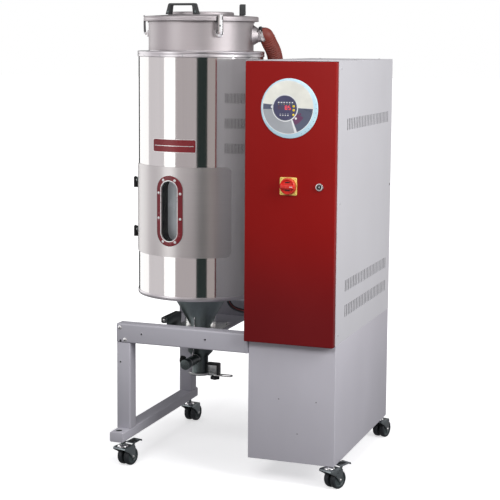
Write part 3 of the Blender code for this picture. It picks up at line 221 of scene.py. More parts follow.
# near-black inlay for holes, sockets, slots and perforations: painted shade inside them
HOLE_SHADE = plastic("painted_hole_shade", (0.01, 0.01, 0.012), 0.7)
FILM_BLUE = plastic("film_light_blue", (0.58, 0.82, 0.98), 0.3)
FILM_CREAM = plastic("film_cream", (0.9, 0.9, 0.82), 0.34)
FILM_GREY = plastic("film_grey", (0.4, 0.42, 0.45), 0.3)
FILM_SLATE = plastic("film_slate", (0.105, 0.12, 0.18), 0.28)
FILM_PURPLE = plastic("film_purple", (0.15, 0.055, 0.13), 0.28)
FILM_NAVY = plastic("film_navy", (0.075, 0.075, 0.15), 0.24)
FILM_WHITE = plastic("film_white", (0.88, 0.89, 0.9), 0.3)
LED_RED = plastic("led_red", (0.85, 0.06, 0.06), 0.25, **{
    "Emission Color": (1.0, 0.07, 0.07, 1.0), "Emission Strength": 0.75})
LED_DIM = plastic("led_dim", (0.13, 0.06, 0.08), 0.25)
LAMP_GREEN = plastic("lamp_green", (0.25, 0.42, 0.16), 0.25)
BUTTON_YELLOW = plastic("button_yellow", (0.9, 0.66, 0.04), 0.25)
SEAL_BLACK = plastic("seal_black", (0.008, 0.008, 0.009), 0.5, **{"Specular IOR Level": 0.25})
# near-black sheet for behind the grille slots: painted shade of the cabinet's inside
SLOT_SHADE_SHEET = plastic("slot_shade_sheet", (0.05, 0.048, 0.052), 0.8, 900.0, 0.6)
GRANULATE = plastic("granulate_pane", (0.42, 0.43, 0.46), 0.22, 160.0, 0.5)


def sight_glass():
    """Window pane; the low IOR keeps a reflection off it."""
    mat, tree, shader, coords = new_material("sight_glass", 0.0, 0.03, **{
        "Transmission Weight": 1.0, "IOR": 1.12})
    cloud = stretched_noise(tree, coords, (20.0,) * 3)
    tree.links.new(ramp(tree, cloud, (0.9, 0.93, 0.92), (0.97, 0.98, 0.98)),
                   shader.inputs["Base Color"])
    tree.links.new(vary(tree, cloud, 0.01, 0.05), shader.inputs["Roughness"])
    return mat


GLASS = sight_glass()


# ------------------------------------------------------------ geometry tools
def hopper_point(azimuth, radius, height):
    """Point beside the hopper's axis; azimuth is in degrees from the front towards the cabinet."""
    a = math.radians(azimuth)
    return Vector((HOPPER.x + radius * math.sin(a), HOPPER.y - radius * math.cos(a), height))


def hopper_axes(azimuth):
    """Outward and sideways directions on the hopper at an azimuth."""
    a = math.radians(azimuth)
    return Vector((math.sin(a), -math.cos(a), 0)), Vector((math.cos(a), math.sin(a), 0))


def rounded(cx, cy, w, h, radius, steps=6):
    """Outline of a rectangle with round corners."""
    points = []
    for sx, sy, start in ((1, 1, 0), (-1, 1, 90), (-1, -1, 180), (1, -1, 270)):
        ox, oy = cx + sx * (w / 2 - radius), cy + sy * (h / 2 - radius)
        for k in range(steps + 1):
            a = math.radians(start + 90 * k / steps)
            points.append((ox + radius * math.cos(a), oy + radius * math.sin(a)))
    return points


def circle(cx, cy, radius, count=32, start=0.0, sweep=360.0):
    """Points on a circle; a partial sweep includes its far end."""
    full = sweep >= 360.0
    n = count if full else count + 1
    return [(cx + radius * math.cos(math.radians(start + sweep * k / count)),
             cy + radius * math.sin(math.radians(start + sweep * k / count))) for k in range(n)]


def prism_faces(n):
    """Two end faces and the sides between matching outlines of n points."""
    ends = [tuple(range(n))[::-1], tuple(range(n, 2 * n))]
    return ends + [(i, (i + 1) % n, n + (i + 1) % n, n + i) for i in range(n)]


def turn_towards(direction):
    """Rotation that lays the z axis along a direction."""
    return Vector(direction).normalized().to_track_quat("Z", "Y").to_matrix()


def tangent(path, i):
    return (path[min(i + 1, len(path) - 1)] - path[max(i - 1, 0)]).normalized()


def corner_drop(d, corner):
    """How far a round corner cuts in, at a distance d from the side it starts on."""
    return corner - math.sqrt(max(corner ** 2 - (corner - d) ** 2, 0.0)) if d < corner else 0.0


def thinned(values, gap):
    """Sorted values, without any that lies closer than gap to the one kept before it."""
    kept = []
    for value in sorted(values):
        if not kept or value - kept[-1] > gap:
            kept.append(value)
    return kept


def bored(outline, cx, cy, radius):
    """Circle with one point for each point of an outline, in the same direction from the centre."""
    angles = [math.atan2(b - cy, a - cx) for a, b in outline]
    return [(cx + radius * math.cos(t), cy + radius * math.sin(t)) for t in angles]


class Piece:
    """Collects closed shapes into one visible object that rides on a CAD body."""

    def __init__(self, name, body, replaces=(), slot=None):
        self.name, self.body, self.replaces, self.slot = name, body, replaces, slot
        self.bm = bmesh.new()
        self.materials = []
        self.place = Matrix.Translation(SHIFT)

    def add(self, verts, faces, mat, bevel=0.0, segments=2, limit=30):
        part = bmesh.new()
        made = [part.verts.new(self.place @ Vector(v)) for v in verts]
        for face in faces:
            part.faces.new([made[i] for i in face])
        bmesh.ops.recalc_face_normals(part, faces=part.faces)
        if bevel:
            edges = [e for e in part.edges
                     if len(e.link_faces) == 2 and e.calc_face_angle(0) > math.radians(limit)]
            bmesh.ops.bevel(part, geom=edges, offset=bevel, offset_type="OFFSET", segments=segments,
                            profile=0.5, affect="EDGES", clamp_overlap=True)
        if mat not in self.materials:
            self.materials.append(mat)
        for face in part.faces:
            face.material_index = self.materials.index(mat)
            face.smooth = True
        scratch = bpy.data.meshes.new("scratch")
        part.to_mesh(scratch)
        part.free()
        self.bm.from_mesh(scratch)
        bpy.data.meshes.remove(scratch)
        return self

    def box(self, x, y, z, mat, bevel=0.0, segments=2):
        verts = [(a, b, c) for a in x for b in y for c in z]
        return self.add(verts, BOX_FACES, mat, bevel, segments)

    def prism(self, outline, axis, low, high, mat, bevel=0.0, segments=2):
        """Flat outline pushed along one axis from low to high."""
        verts = [{"x": (level, a, b), "y": (a, level, b), "z": (a, b, level)}[axis]
                 for level in (low, high) for a, b in outline]
        return self.add(verts, prism_faces(len(outline)), mat, bevel, segments)

    def slab(self, points, offset, mat, bevel=0.0, segments=2):
        """Closed outline of 3-D points pushed along an offset vector."""
        verts = [Vector(p) for p in points] + [Vector(p) + Vector(offset) for p in points]
        return self.add(verts, prism_faces(len(points)), mat, bevel, segments)

    def lathe(self, profile, centre, mat, axis="z", steps=96, bevel=0.0):
        """Turned solid; profile is (radius, height) points, closed when it leaves the axis free."""
        if isinstance(axis, str):
            axis = {"z": Matrix.Identity(3), "y": Matrix.Rotation(math.radians(90), 3, "X"),
                    "x": Matrix.Rotation(math.radians(90), 3, "Y")}[axis]
        centre = Vector(centre)
        rows, verts = [], []
        for r, h in profile:
            if r < TINY:
                rows.append([len(verts)] * steps)
                verts.append(centre + axis @ Vector((0, 0, h)))
            else:
                rows.append(list(range(len(verts), len(verts) + steps)))
                for k in range(steps):
                    a = 2 * math.pi * k / steps
                    verts.append(centre + axis @ Vector((r * math.cos(a), r * math.sin(a), h)))
        closed = profile[0][0] > TINY and profile[-1][0] > TINY
        pairs = list(zip(rows, rows[1:])) + ([(rows[-1], rows[0])] if closed else [])
        faces = []
        for upper, lower in pairs:
            for k in range(steps):
                j = (k + 1) % steps
                ring = [upper[k], upper[j], lower[j], lower[k]]
                face = [v for i, v in enumerate(ring) if v != ring[i - 1]]
                if len(face) > 2:
                    faces.append(tuple(face))
        return self.add(verts, faces, mat, bevel)

    def rod(self, start, end, radius, mat, count=20, end_radius=None, bevel=0.0):
        """Round bar between two points; end_radius makes it taper."""
        start, end = Vector(start), Vector(end)
        turn = turn_towards(end - start)
        verts = []
        for base, r in ((start, radius), (end, radius if end_radius is None else end_radius)):
            verts += [base + turn @ Vector((a, b, 0)) for a, b in circle(0, 0, r, count)]
        return self.add(verts, prism_faces(count), mat, bevel)

    def dome(self, centre, direction, radius, height, mat, count=16):
        """Low button head, such as a screw or rivet."""
        profile = [(0.0, height), (0.45 * radius, 0.94 * height), (0.8 * radius, 0.65 * height),
                   (radius, 0.0), (0.0, 0.0)]
        return self.lathe(profile, centre, mat, turn_towards(direction), count)

    def tube(self, path, radius, mat, count=20, wall=None):
        """Swept tube; radius is a number or one value a point, wall leaves it hollow."""
        path = [Vector(p) for p in path]
        radii = radius if isinstance(radius, list) else [radius] * len(path)
        tangents = [tangent(path, i) for i in range(len(path))]
        normal = tangents[0].orthogonal().normalized()
        rings, verts = [], []
        for i, point in enumerate(path):
            normal = (normal - tangents[i] * normal.dot(tangents[i])).normalized()
            side = tangents[i].cross(normal)
            row = []
            for r in ([radii[i]] if wall is None else [radii[i], radii[i] - wall]):
                row.append(list(range(len(verts), len(verts) + count)))
                for k in range(count):
                    a = 2 * math.pi * k / count
                    verts.append(point + (normal * math.cos(a) + side * math.sin(a)) * r)
            rings.append(row)
        faces = []
        for layer in range(len(rings[0])):
            for a, b in zip(rings, rings[1:]):
                for k in range(count):
                    j = (k + 1) % count
                    faces.append((a[layer][k], a[layer][j], b[layer][j], b[layer][k]))
        for end in (rings[0], rings[-1]):
            if wall is None:
                faces.append(tuple(end[0]))
            else:
                for k in range(count):
                    j = (k + 1) % count
                    faces.append((end[0][k], end[0][j], end[1][j], end[1][k]))
        return self.add(verts, faces, mat)

    def bent_sheet(self, columns, radii, mat, closed=False):
        """Sheet bent round the hopper's axis.

        A column is (azimuth, heights, hole).  Its heights run from foot to top.  Where hole is true
        in two columns side by side, the sheet is open between their two middle heights.
        """
        m, verts, faces = len(columns[0][1]), [], []
        for azimuth, heights, _ in columns:
            verts += [hopper_point(azimuth, r, z) for r in radii for z in heights]

        def across(start, rows):
            return [(start + k, start + k + 1, start + k + 1 + m, start + k + m) for k in rows]

        if not closed:
            faces += across(0, range(m - 1))
        for i in range(len(columns) - (not closed)):
            j = (i + 1) % len(columns)
            a, b = 2 * m * i, 2 * m * j
            hole = columns[i][2] and columns[j][2]
            for layer in (0, m):
                for k in range(m - 1):
                    if not (hole and k == 1):
                        faces.append((a + layer + k, b + layer + k, b + layer + k + 1,
                                      a + layer + k + 1))
            rims = (0, m - 1) + ((1, 2) if hole else ())
            faces += [(a + k, b + k, b + k + m, a + k + m) for k in rims]
            if columns[i][2] != columns[j][2]:
                faces += across(a if columns[i][2] else b, (1,))
        if not closed:
            faces += across(2 * m * (len(columns) - 1), range(m - 1))
        return self.add(verts, faces, mat)

    def curved(self, centre_az, half_az, z_low, z_high, r_in, r_out, corner, mat, columns=48,
               corner_steps=10):
        """Plate with round corners, bent around the hopper's axis."""
        radius = 0.5 * (r_in + r_out)
        half = math.radians(half_az) * radius
        marks = {-half, half}
        for k in range(corner_steps):
            d = corner * (1 - math.cos(math.radians(90 * k / (corner_steps - 1))))
            marks.update((-half + d, half - d))
        even = [-half + 2 * half * k / columns for k in range(columns + 1)]
        marks.update(s for s in even if abs(s) < half - corner)
        plan = []
        for s in thinned(marks, 1e-5):
            drop = corner_drop(min(s + half, half - s), corner)
            plan.append((centre_az + math.degrees(s / radius), (z_low + drop, z_high - drop),
                         False))
        return self.bent_sheet(plan, (r_in, r_out), mat)

    def slotted(self, az, half_az, z_low, z_high, r_in, r_out, corner, slot_half, slot_z,
                slot_corner, mat, columns=56):
        """Curved plate with round corners and a stadium slot through its middle."""
        half, slot = math.radians(half_az) * SKIN_R, math.radians(slot_half) * SKIN_R
        marks = {-half, half, -slot, slot}
        for k in range(10):
            c = 1 - math.cos(math.radians(10 * k))
            marks.update((-half + corner * c, half - corner * c,
                          -slot + slot_corner * c, slot - slot_corner * c))
        even = [-half + 2 * half * k / columns for k in range(columns + 1)]
        marks.update(s for s in even if abs(s) < half - corner and abs(abs(s) - slot) > 0.002)
        plan = []
        for s in thinned(marks, 2e-5):
            edge, hole = corner_drop(half - abs(s), corner), abs(s) <= slot + 1e-7
            reach = slot_z - (corner_drop(slot - abs(s), slot_corner) if hole else slot_corner)
            plan.append((az + math.degrees(s / SKIN_R),
                         (z_low + edge, WINDOW_Z - reach, WINDOW_Z + reach, z_high - edge), hole))
        return self.bent_sheet(plan, (r_in, r_out), mat)

    def frame_loop(self, outer, inner, mat, bevel=0.0):
        """Solid between two matching loops; each loop is (back points, front points)."""
        n = len(outer[0])
        verts = list(outer[0]) + list(outer[1]) + list(inner[0]) + list(inner[1])
        faces = []
        for i in range(n):
            j = (i + 1) % n
            for a, b in ((0, n), (n, 3 * n), (3 * n, 2 * n), (2 * n, 0)):
                faces.append((a + i, a + j, b + j, b + i))
        return self.add(verts, faces, mat, bevel)

    def plate(self, outline, hole, z_low, z_high, mat, bevel=0.0):
        """Flat plate with a hole whose outline has as many points as the plate's."""
        loops = [[Vector((a, b, z)) for a, b in line]
                 for line in (outline, hole) for z in (z_low, z_high)]
        return self.frame_loop(loops[:2], loops[2:], mat, bevel)

    def block(self, azimuth, width, r_in, r_out, z_low, z_high, mat, bevel=0.0, shift=0.0):
        """Straight block on the hopper side at one azimuth."""
        out, side = hopper_axes(azimuth)
        verts = [HOPPER + out * r + side * (w + shift) + Vector((0, 0, z))
                 for r in (r_in, r_out) for w in (-width / 2, width / 2) for z in (z_low, z_high)]
        return self.add(verts, BOX_FACES, mat, bevel)

    def shell(self, radius, z_low, z_high, mat, opening, columns=240, wall=0.0015):
        """Round sheet wall with a round-cornered opening (azimuth, half, z0, z1, corner)."""
        az, half, z0, z1, corner = opening
        span = math.degrees(corner / radius)
        azimuths = {360.0 * k / columns - 180.0 for k in range(columns)}
        for k in range(7):
            d = span * (1 - math.cos(math.radians(15 * k)))
            azimuths.update((az - half + d, az + half - d))
        plan = []
        for a in thinned(azimuths, 1e-4):
            hole = abs(a - az) <= half + 1e-6
            drop = corner_drop((half - abs(a - az)) / span * corner, corner) if hole else corner
            plan.append((a, (z_low, z0 + drop, z1 - drop, z_high), hole))
        return self.bent_sheet(plan, (radius, radius - wall), mat, closed=True)

    def make(self):
        mesh = bpy.data.meshes.new(self.name)
        bmesh.ops.recalc_face_normals(self.bm, faces=self.bm.faces)
        self.bm.to_mesh(mesh)
        self.bm.free()
        for mat in self.materials:
            mesh.materials.append(mat)
        mesh.set_sharp_from_angle(angle=SHARP)
        obj = bpy.data.objects.new(self.name, mesh)
        bpy.context.scene.collection.objects.link(obj)
        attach(obj, self.body)
        if self.replaces:
            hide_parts(*self.replaces)
        return obj


def smooth_path(points, count):
    """Catmull-Rom curve through the points, as count + 1 points."""
    pts = [Vector(p) for p in points]
    pts = [2 * pts[0] - pts[1]] + pts + [2 * pts[-1] - pts[-2]]
    out, spans = [], len(pts) - 3
    for i in range(count + 1):
        t = spans * i / count
        k = min(int(t), spans - 1)
        u = t - k
        p0, p1, p2, p3 = pts[k:k + 4]
        out.append(0.5 * ((2 * p1) + (p2 - p0) * u + (2 * p0 - 5 * p1 + 4 * p2 - p3) * u * u
                          + (3 * p1 - p0 - 3 * p2 + p3) * u ** 3))
    return out


def screw(piece, point, direction, radius=0.004, height=0.0022, mat=None):
    """Button-head screw whose socket is a dark disc in its middle: painted shade of the recess."""
    mat = mat or BRIGHT_STEEL
    direction = Vector(direction).normalized()
    piece.dome(point, direction, radius, height, mat)
    piece.rod(Vector(point) + direction * height * 0.8, Vector(point) + direction * height * 1.02,
              radius * 0.42, HOLE_SHADE, 6)


def plug(piece, point, direction, rim, height, hole, mat):
    """Plugged screw hole: a low rim in the panel's paint with a dark middle, painted shade of the
    hole.
    """
    piece.dome(point, direction, rim, height, mat)
    lift = Vector(direction) * 0.0004
    piece.dome(Vector(point) + lift, direction, hole, height + 0.0004, HOLE_SHADE)


# --------------------------------------------------------------------- stand
def build_stand():
    """Tubes of the stand, with their screws and plugged holes."""
    post, radius = 0.058, 0.0062
    left, right = -0.894, -0.3455
    beam_low, beam_high = 0.498, 0.573
    for label, y0 in (("front", 0.001), ("rear", 0.6345)):
        mid = y0 + post / 2
        beam = Piece("beam_" + label + "_tube", "stand", ("beam_" + label,), "frame_grey")
        beam.prism(rounded(mid, (beam_low + beam_high) / 2, post, beam_high - beam_low, radius),
                   "x", left, -0.3577, FRAME_PAINT, 0.0012)
        beam.box((-0.3577, right), (y0, y0 + post), (beam_low, 0.5543), FRAME_PAINT, 0.001)
        face = y0 if label == "front" else y0 + post
        out = -1 if label == "front" else 1
        for x in (-0.7864, -0.5193):
            plug(beam, (x, face, 0.5382), (0, out, 0), 0.0062, 0.0012, 0.0042, FRAME_PAINT)
        for x, z in ((-0.8793, 0.5572), (-0.8569, 0.5094)):
            beam.rod((x, face, z), (x, face + out * 0.001, z), 0.0088, BRIGHT_STEEL, 24,
                     bevel=0.0004)
            screw(beam, (x, face + out * 0.0008, z), (0, out, 0), 0.0068, 0.004, CHROME)
        # dark dot for a hole: painted shade
        beam.dome((-0.8767, face, 0.5054), (0, out, 0), 0.0046, 0.0012, HOLE_SHADE)
        beam.make()
        leg = Piece("post_" + label + "_tube", "stand", ("post_" + label + "_left",), "frame_grey")
        leg.prism(rounded(left + post / 2, mid, post, post, radius), "z", 0.1543, beam_low - 0.0003,
                  FRAME_PAINT, 0.0008)
        x = left + post / 2 - 0.0115
        plug(leg, (x, face, 0.421), (0, out, 0), 0.0056, 0.001, 0.0036, FRAME_PAINT)
        leg.make()
    foot = Piece("foot_beam_tube", "stand", ("foot_beam_left",), "frame_grey")
    foot.prism(rounded(left + post / 2, 0.134, post, 0.04, 0.006), "y", -0.065, 0.709, FRAME_PAINT,
               0.0022, 3)
    for y in (-0.0388, 0.7):
        foot.lathe([(0.015, 0.0), (0.0148, 0.0008), (0.0132, 0.001), (0.0124, 0.0001)],
                   (-0.8657, y, 0.154), FRAME_PAINT, steps=40)
        # dark disc in the access hole: painted shade
        foot.rod((-0.8657, y, 0.1535), (-0.8657, y, 0.1543), 0.0127, HOLE_SHADE, 40)
    foot.make()


# -------------------------------------------------------------------- casters
CASTERS = {"front_left": (-0.868, 0.0, 0.114, 12.0), "rear_left": (-0.868, 0.69, 0.114, 6.0),
           "front_right": (-0.022, 0.021, 0.091, 25.0), "rear_right": (-0.022, 0.748, 0.091, 12.0)}
WHEEL_R, TRAIL, FORK_TOP, PAIR = 0.036, 0.032, 0.086, 0.053


def build_caster(label):
    """Twin-wheel caster; the two front ones have a brake pedal."""
    x, y, top, yaw = CASTERS[label]
    place = (Matrix.Translation(SHIFT) @ Matrix.Translation((x, y, 0))
             @ Matrix.Rotation(-math.radians(yaw), 4, "Z"))
    half = PAIR / 2
    fork = Piece("fork_" + label, "caster_" + label, ("caster_fork_" + label,), "chrome")
    fork.place = place
    # pressed crown: dished skirt over the wheels, ball race and stem
    crown = [(-0.027, FORK_TOP - 0.0125), (-0.0235, FORK_TOP - 0.0062), (-0.015, FORK_TOP - 0.0045),
             (0.03, FORK_TOP - 0.0045), (0.04, FORK_TOP - 0.006), (0.0455, FORK_TOP - 0.012),
             (0.0435, FORK_TOP - 0.013), (0.0385, FORK_TOP - 0.0083), (0.029, FORK_TOP - 0.007),
             (-0.015, FORK_TOP - 0.007), (-0.0215, FORK_TOP - 0.0085), (-0.025, FORK_TOP - 0.0132)]
    fork.prism(crown, "x", -half - 0.0028, half + 0.0028, FORK_STEEL, 0.0006)
    cheek = [(TRAIL - 0.0085, 0.03), (TRAIL + 0.0085, 0.03), (TRAIL + 0.012, 0.04),
             (0.045, FORK_TOP - 0.015), (0.0405, FORK_TOP - 0.0062), (-0.0215, FORK_TOP - 0.0062),
             (-0.0255, FORK_TOP - 0.015), (0.002, FORK_TOP - 0.03), (TRAIL - 0.012, 0.04)]
    for side in (-1, 1):
        x0 = side * (half + 0.0008)
        fork.prism(cheek, "x", min(x0, x0 + side * 0.0022), max(x0, x0 + side * 0.0022), FORK_STEEL,
                   0.0007)
        fork.dome((side * (half + 0.0028), TRAIL, WHEEL_R), (side, 0, 0), 0.0052, 0.003,
                  BRIGHT_STEEL)
    fork.lathe([(0.0, 0.003), (0.0115, 0.003), (0.0165, 0.0018), (0.02, -0.0012), (0.0215, -0.005),
                (0.0, -0.005)], (0, 0, FORK_TOP), CHROME, steps=40)
    fork.lathe([(0.0, 0.0016), (0.0085, 0.0016), (0.01, 0.0), (0.0, 0.0)], (0, 0, FORK_TOP + 0.003),
               ZINC, steps=24)
    fork.rod((0, 0, FORK_TOP + 0.003), (0, 0, top - 0.0004), 0.0078, DARK_STEEL_AND_SHADE, 20)
    if label.startswith("front"):
        for side in (-1, 1):
            lug = [(0.03, 0.0785), (0.0455, 0.077), (0.0495, 0.0815), (0.049, 0.0865),
                   (0.044, 0.0878), (0.033, 0.085)]
            fork.prism(lug, "x", side * 0.0228 - 0.0012, side * 0.0228 + 0.0012, FORK_STEEL, 0.0004)
        fork.rod((-0.0245, 0.046, 0.084), (0.0245, 0.046, 0.084), 0.0012, BRIGHT_STEEL, 12)
    fork.make()

    wheels = Piece("wheels_pair_" + label, "wheels_" + label, ("caster_wheels_" + label,),
                   "black_rubber")
    wheels.place = place
    for side in (-1, 1):
        inner, outer = side * (half - 0.0215), side * (half - 0.0006)
        profile = [(0.0265, outer - side * 0.0012), (0.03, outer - side * 0.0004), (0.033, outer),
                   (0.0352, outer - side * 0.0028), (WHEEL_R, outer - side * 0.006),
                   (WHEEL_R, inner + side * 0.0055), (0.035, inner + side * 0.0022),
                   (0.0325, inner), (0.0265, inner)]
        wheels.lathe(profile, (0, TRAIL, WHEEL_R), BLACK_RUBBER, "x", 56)
        hub = [(0.0268, outer - side * 0.002), (0.024, outer - side * 0.003),
               (0.022, outer - side * 0.0052), (0.011, outer - side * 0.004),
               (0.0085, outer - side * 0.001), (0.004, outer - side * 0.0008),
               (0.004, inner), (0.0268, inner)]
        wheels.lathe(hub, (0, TRAIL, WHEEL_R), WHEEL_HUB, "x", 40)
        for k in range(5):
            a = 2 * math.pi * k / 5
            start = Vector((outer - side * 0.0042, TRAIL + 0.0105 * math.cos(a),
                            WHEEL_R + 0.0105 * math.sin(a)))
            end = Vector((outer - side * 0.0036, TRAIL + 0.0235 * math.cos(a),
                          WHEEL_R + 0.0235 * math.sin(a)))
            wheels.rod(start, end, 0.0016, WHEEL_HUB, 8)
    wheels.rod((-half + 0.0215, TRAIL, WHEEL_R), (half - 0.0215, TRAIL, WHEEL_R), 0.01, WHEEL_HUB,
               24)
    wheels.make()

    if label.startswith("front"):
        pedal = Piece("pedal_plate_" + label, "pedal_" + label, ("caster_pedal_" + label,),
                      "chrome")
        pedal.place = place
        py, pz = 0.046, FORK_TOP - 0.002
        outline = [(py - 0.002, pz - 0.0018), (py + 0.02, pz - 0.0014), (py + 0.046, pz + 0.0012),
                   (py + 0.0535, pz - 0.0036), (py + 0.057, pz - 0.0028), (py + 0.0535, pz + 0.004),
                   (py + 0.02, pz + 0.0018), (py - 0.002, pz + 0.0016)]
        for side in (-1, 1):
            pedal.prism(outline, "x", side * 0.0155 - 0.005, side * 0.0155 + 0.005, FORK_STEEL,
                        0.0006)
        pedal.prism([(py + 0.042, pz + 0.0006), (py + 0.0535, pz - 0.0034),
                     (py + 0.0568, pz - 0.0026),
                     (py + 0.053, pz + 0.0042), (py + 0.042, pz + 0.0032)], "x", -0.02, 0.02,
                    FORK_STEEL, 0.0006)
        pedal.box((-0.019, 0.019), (py - 0.0018, py + 0.008), (pz - 0.0016, pz + 0.0016),
                  FORK_STEEL, 0.0005)
        pedal.box((-0.011, 0.011), (py + 0.008, py + 0.042), (pz - 0.001, pz + 0.0016),
                  BLACK_PLASTIC, 0.0005)
        for k in range(4):
            yy = py + 0.013 + 0.0075 * k
            pedal.rod((-0.0085, yy, pz + 0.0017), (0.0085, yy, pz + 0.0017), 0.0009, BLACK_PLASTIC,
                      8)
        pedal.make()


# -------------------------------------------------------------------- cabinet
CAB_W, CAB_D, CAB_Z0, CAB_Z1 = 0.357, 0.79, 0.555, 1.607


def build_cabinet():
    """Base, cabinet shell, slotted side panel and the near-black sheets behind it, which are
    painted shade seen through the slots.
    """
    base = Piece("base_shell", "stand", ("base_cabinet",), "body_grey")
    # base in the darkened cabinet grey: painted shade near the floor
    base.box((-0.345, 0.0), (0.008, CAB_D), (0.091, CAB_Z0 - 0.0003), BASE_PAINT_SHADED, 0.0026, 3)
    for x, z in ((-0.2211, 0.333), (-0.0736, 0.333), (-0.1466, 0.2048)):
        base.dome((x, 0.0081, z), (0, -1, 0), 0.0036, 0.0007, BASE_PAINT_SHADED)
        # dark middle of each plug: painted shade of the hole
        base.dome((x, 0.0079, z), (0, -1, 0), 0.0022, 0.0012, HOLE_SHADE)
    base.make()
    body = Piece("cabinet_shell", "stand", ("cabinet_body",), "body_grey")
    t = 0.002
    body.box((-CAB_W, -CAB_W + t), (-0.0018, CAB_D), (CAB_Z0, CAB_Z1 - 0.0002), CABINET_PAINT,
             0.0008)
    body.box((-CAB_W, -0.0017), (CAB_D - t, CAB_D), (CAB_Z0, CAB_Z1), CABINET_PAINT, 0.0008)
    body.box((-CAB_W, -0.0017), (-0.0018, CAB_D), (CAB_Z1 - t, CAB_Z1), CABINET_PAINT, 0.0008)
    body.box((-CAB_W, -0.0017), (-0.0018, CAB_D), (CAB_Z0, CAB_Z0 + t), CABINET_PAINT, 0.0008)
    for x in (-CAB_W + 0.05, -0.05):
        for y in (0.03, 0.395, 0.76):
            screw(body, (x, y, CAB_Z1), (0, 0, 1), 0.0045, 0.0018)
    # three bands of vent slots on the hopper side, drawn as dark inlays: painted shade of open
    # slots
    for z in (1.25, 1.35, 1.45):
        for k in range(30):
            y = 0.1 + 0.012 * k
            body.prism(rounded(y, z, 0.0034, 0.04, 0.0016, 3), "x", -CAB_W - 0.0003,
                       -CAB_W + 0.0004, HOLE_SHADE)
    # rear service cover with louvres
    body.box((-0.33, -0.027), (CAB_D, CAB_D + 0.0014), (0.6, 1.56), CABINET_PAINT, 0.0006)
    for k in range(9):
        z = 0.64 + 0.018 * k
        body.prism([(CAB_D + 0.0012, z), (CAB_D + 0.0056, z + 0.0016), (CAB_D + 0.0012, z + 0.009)],
                   "x", -0.29, -0.067, CABINET_PAINT, 0.0004)
    for x in (-0.32, -0.037):
        for z in (0.612, 1.08, 1.548):
            screw(body, (x, CAB_D + 0.0013, z), (0, 1, 0), 0.0045, 0.0018)
    body.make()

    panel = Piece("side_grille_panel", "stand", ("side_panel",), "body_grey")
    x = (-0.0016, 0.0)
    bands = ((0.643, 0.688), (0.74, 0.784), (1.35, 1.393))
    low = CAB_Z0
    for z0, z1 in bands:
        panel.box(x, (0.0, CAB_D), (low, z0), CABINET_PAINT)
        first, pitch, count = 0.12, 0.023, 27
        panel.box(x, (0.0, first), (z0, z1), CABINET_PAINT)
        for k in range(count):
            y0 = first + k * pitch + 0.0095
            y1 = first + (k + 1) * pitch if k < count - 1 else CAB_D
            panel.box(x, (y0, y1), (z0, z1), CABINET_PAINT)
        low = z1
    panel.box(x, (0.0, CAB_D), (low, CAB_Z1), CABINET_PAINT)
    for z in (1.579, 1.0825, 0.5895):
        panel.dome((0.0, 0.03, z), (1, 0, 0), 0.005, 0.0014, CABINET_PAINT)
        # dark middles of the screw holes: painted shade
        panel.dome((0.0006, 0.03, z), (1, 0, 0), 0.0026, 0.0014, HOLE_SHADE)
    panel.dome((0.0, 0.774, 1.086), (1, 0, 0), 0.0045, 0.0014, HOLE_SHADE)
    panel.make()
    # near-black sheets behind the slots: painted shade of the cabinet's dark inside
    shade_sheets = Piece("grille_shade_sheets", "stand", (), "body_grey")
    for z0, z1 in bands:
        shade_sheets.box((-0.0046, -0.0022), (0.112, 0.752), (z0 - 0.008, z1 + 0.008), SLOT_SHADE_SHEET, 0.0006)
    shade_sheets.make()


def build_inside():
    """Detail on the controls inside the cabinet, seen when the control door is open."""
    unit = Piece("controller_housing", "stand", ("controller_unit",), "black_plastic")
    unit.box((-0.29, -0.065), (0.068, 0.1296), (1.32, 1.52), BLACK_PLASTIC, 0.003, 3)
    unit.box((-0.28, -0.075), (0.0655, 0.0685), (1.33, 1.51), ZINC, 0.0012)
    for row in range(2):
        for k in range(12):
            x = -0.27 + k * 0.0166
            z = 1.34 + row * 0.14
            unit.box((x, x + 0.011), (0.061, 0.066), (z, z + 0.018), LAMP_GREEN, 0.0008)
    unit.make()
    rail = Piece("terminal_rail", "stand", (), "zinc_plate")
    for z in (0.78, 0.96, 1.14):
        rail.box((-0.3, -0.055), (0.1245, 0.1297), (z, z + 0.035), ZINC, 0.001)
        for k in range(15):
            x = -0.29 + k * 0.015
            rail.box((x, x + 0.0125), (0.09, 0.125), (z - 0.022, z + 0.056), FILM_GREY, 0.0012)
    for x0 in (-0.322, -0.05):
        rail.box((x0, x0 + 0.018), (0.1, 0.1297), (0.64, 1.3), CABINET_PAINT, 0.001)
    rail.make()


# --------------------------------------------------------------- control door
DOOR_X, DOOR_Y, DOOR_Z = (-0.3515, -0.0015), (-0.0275, -0.0005), (0.5515, 1.6035)


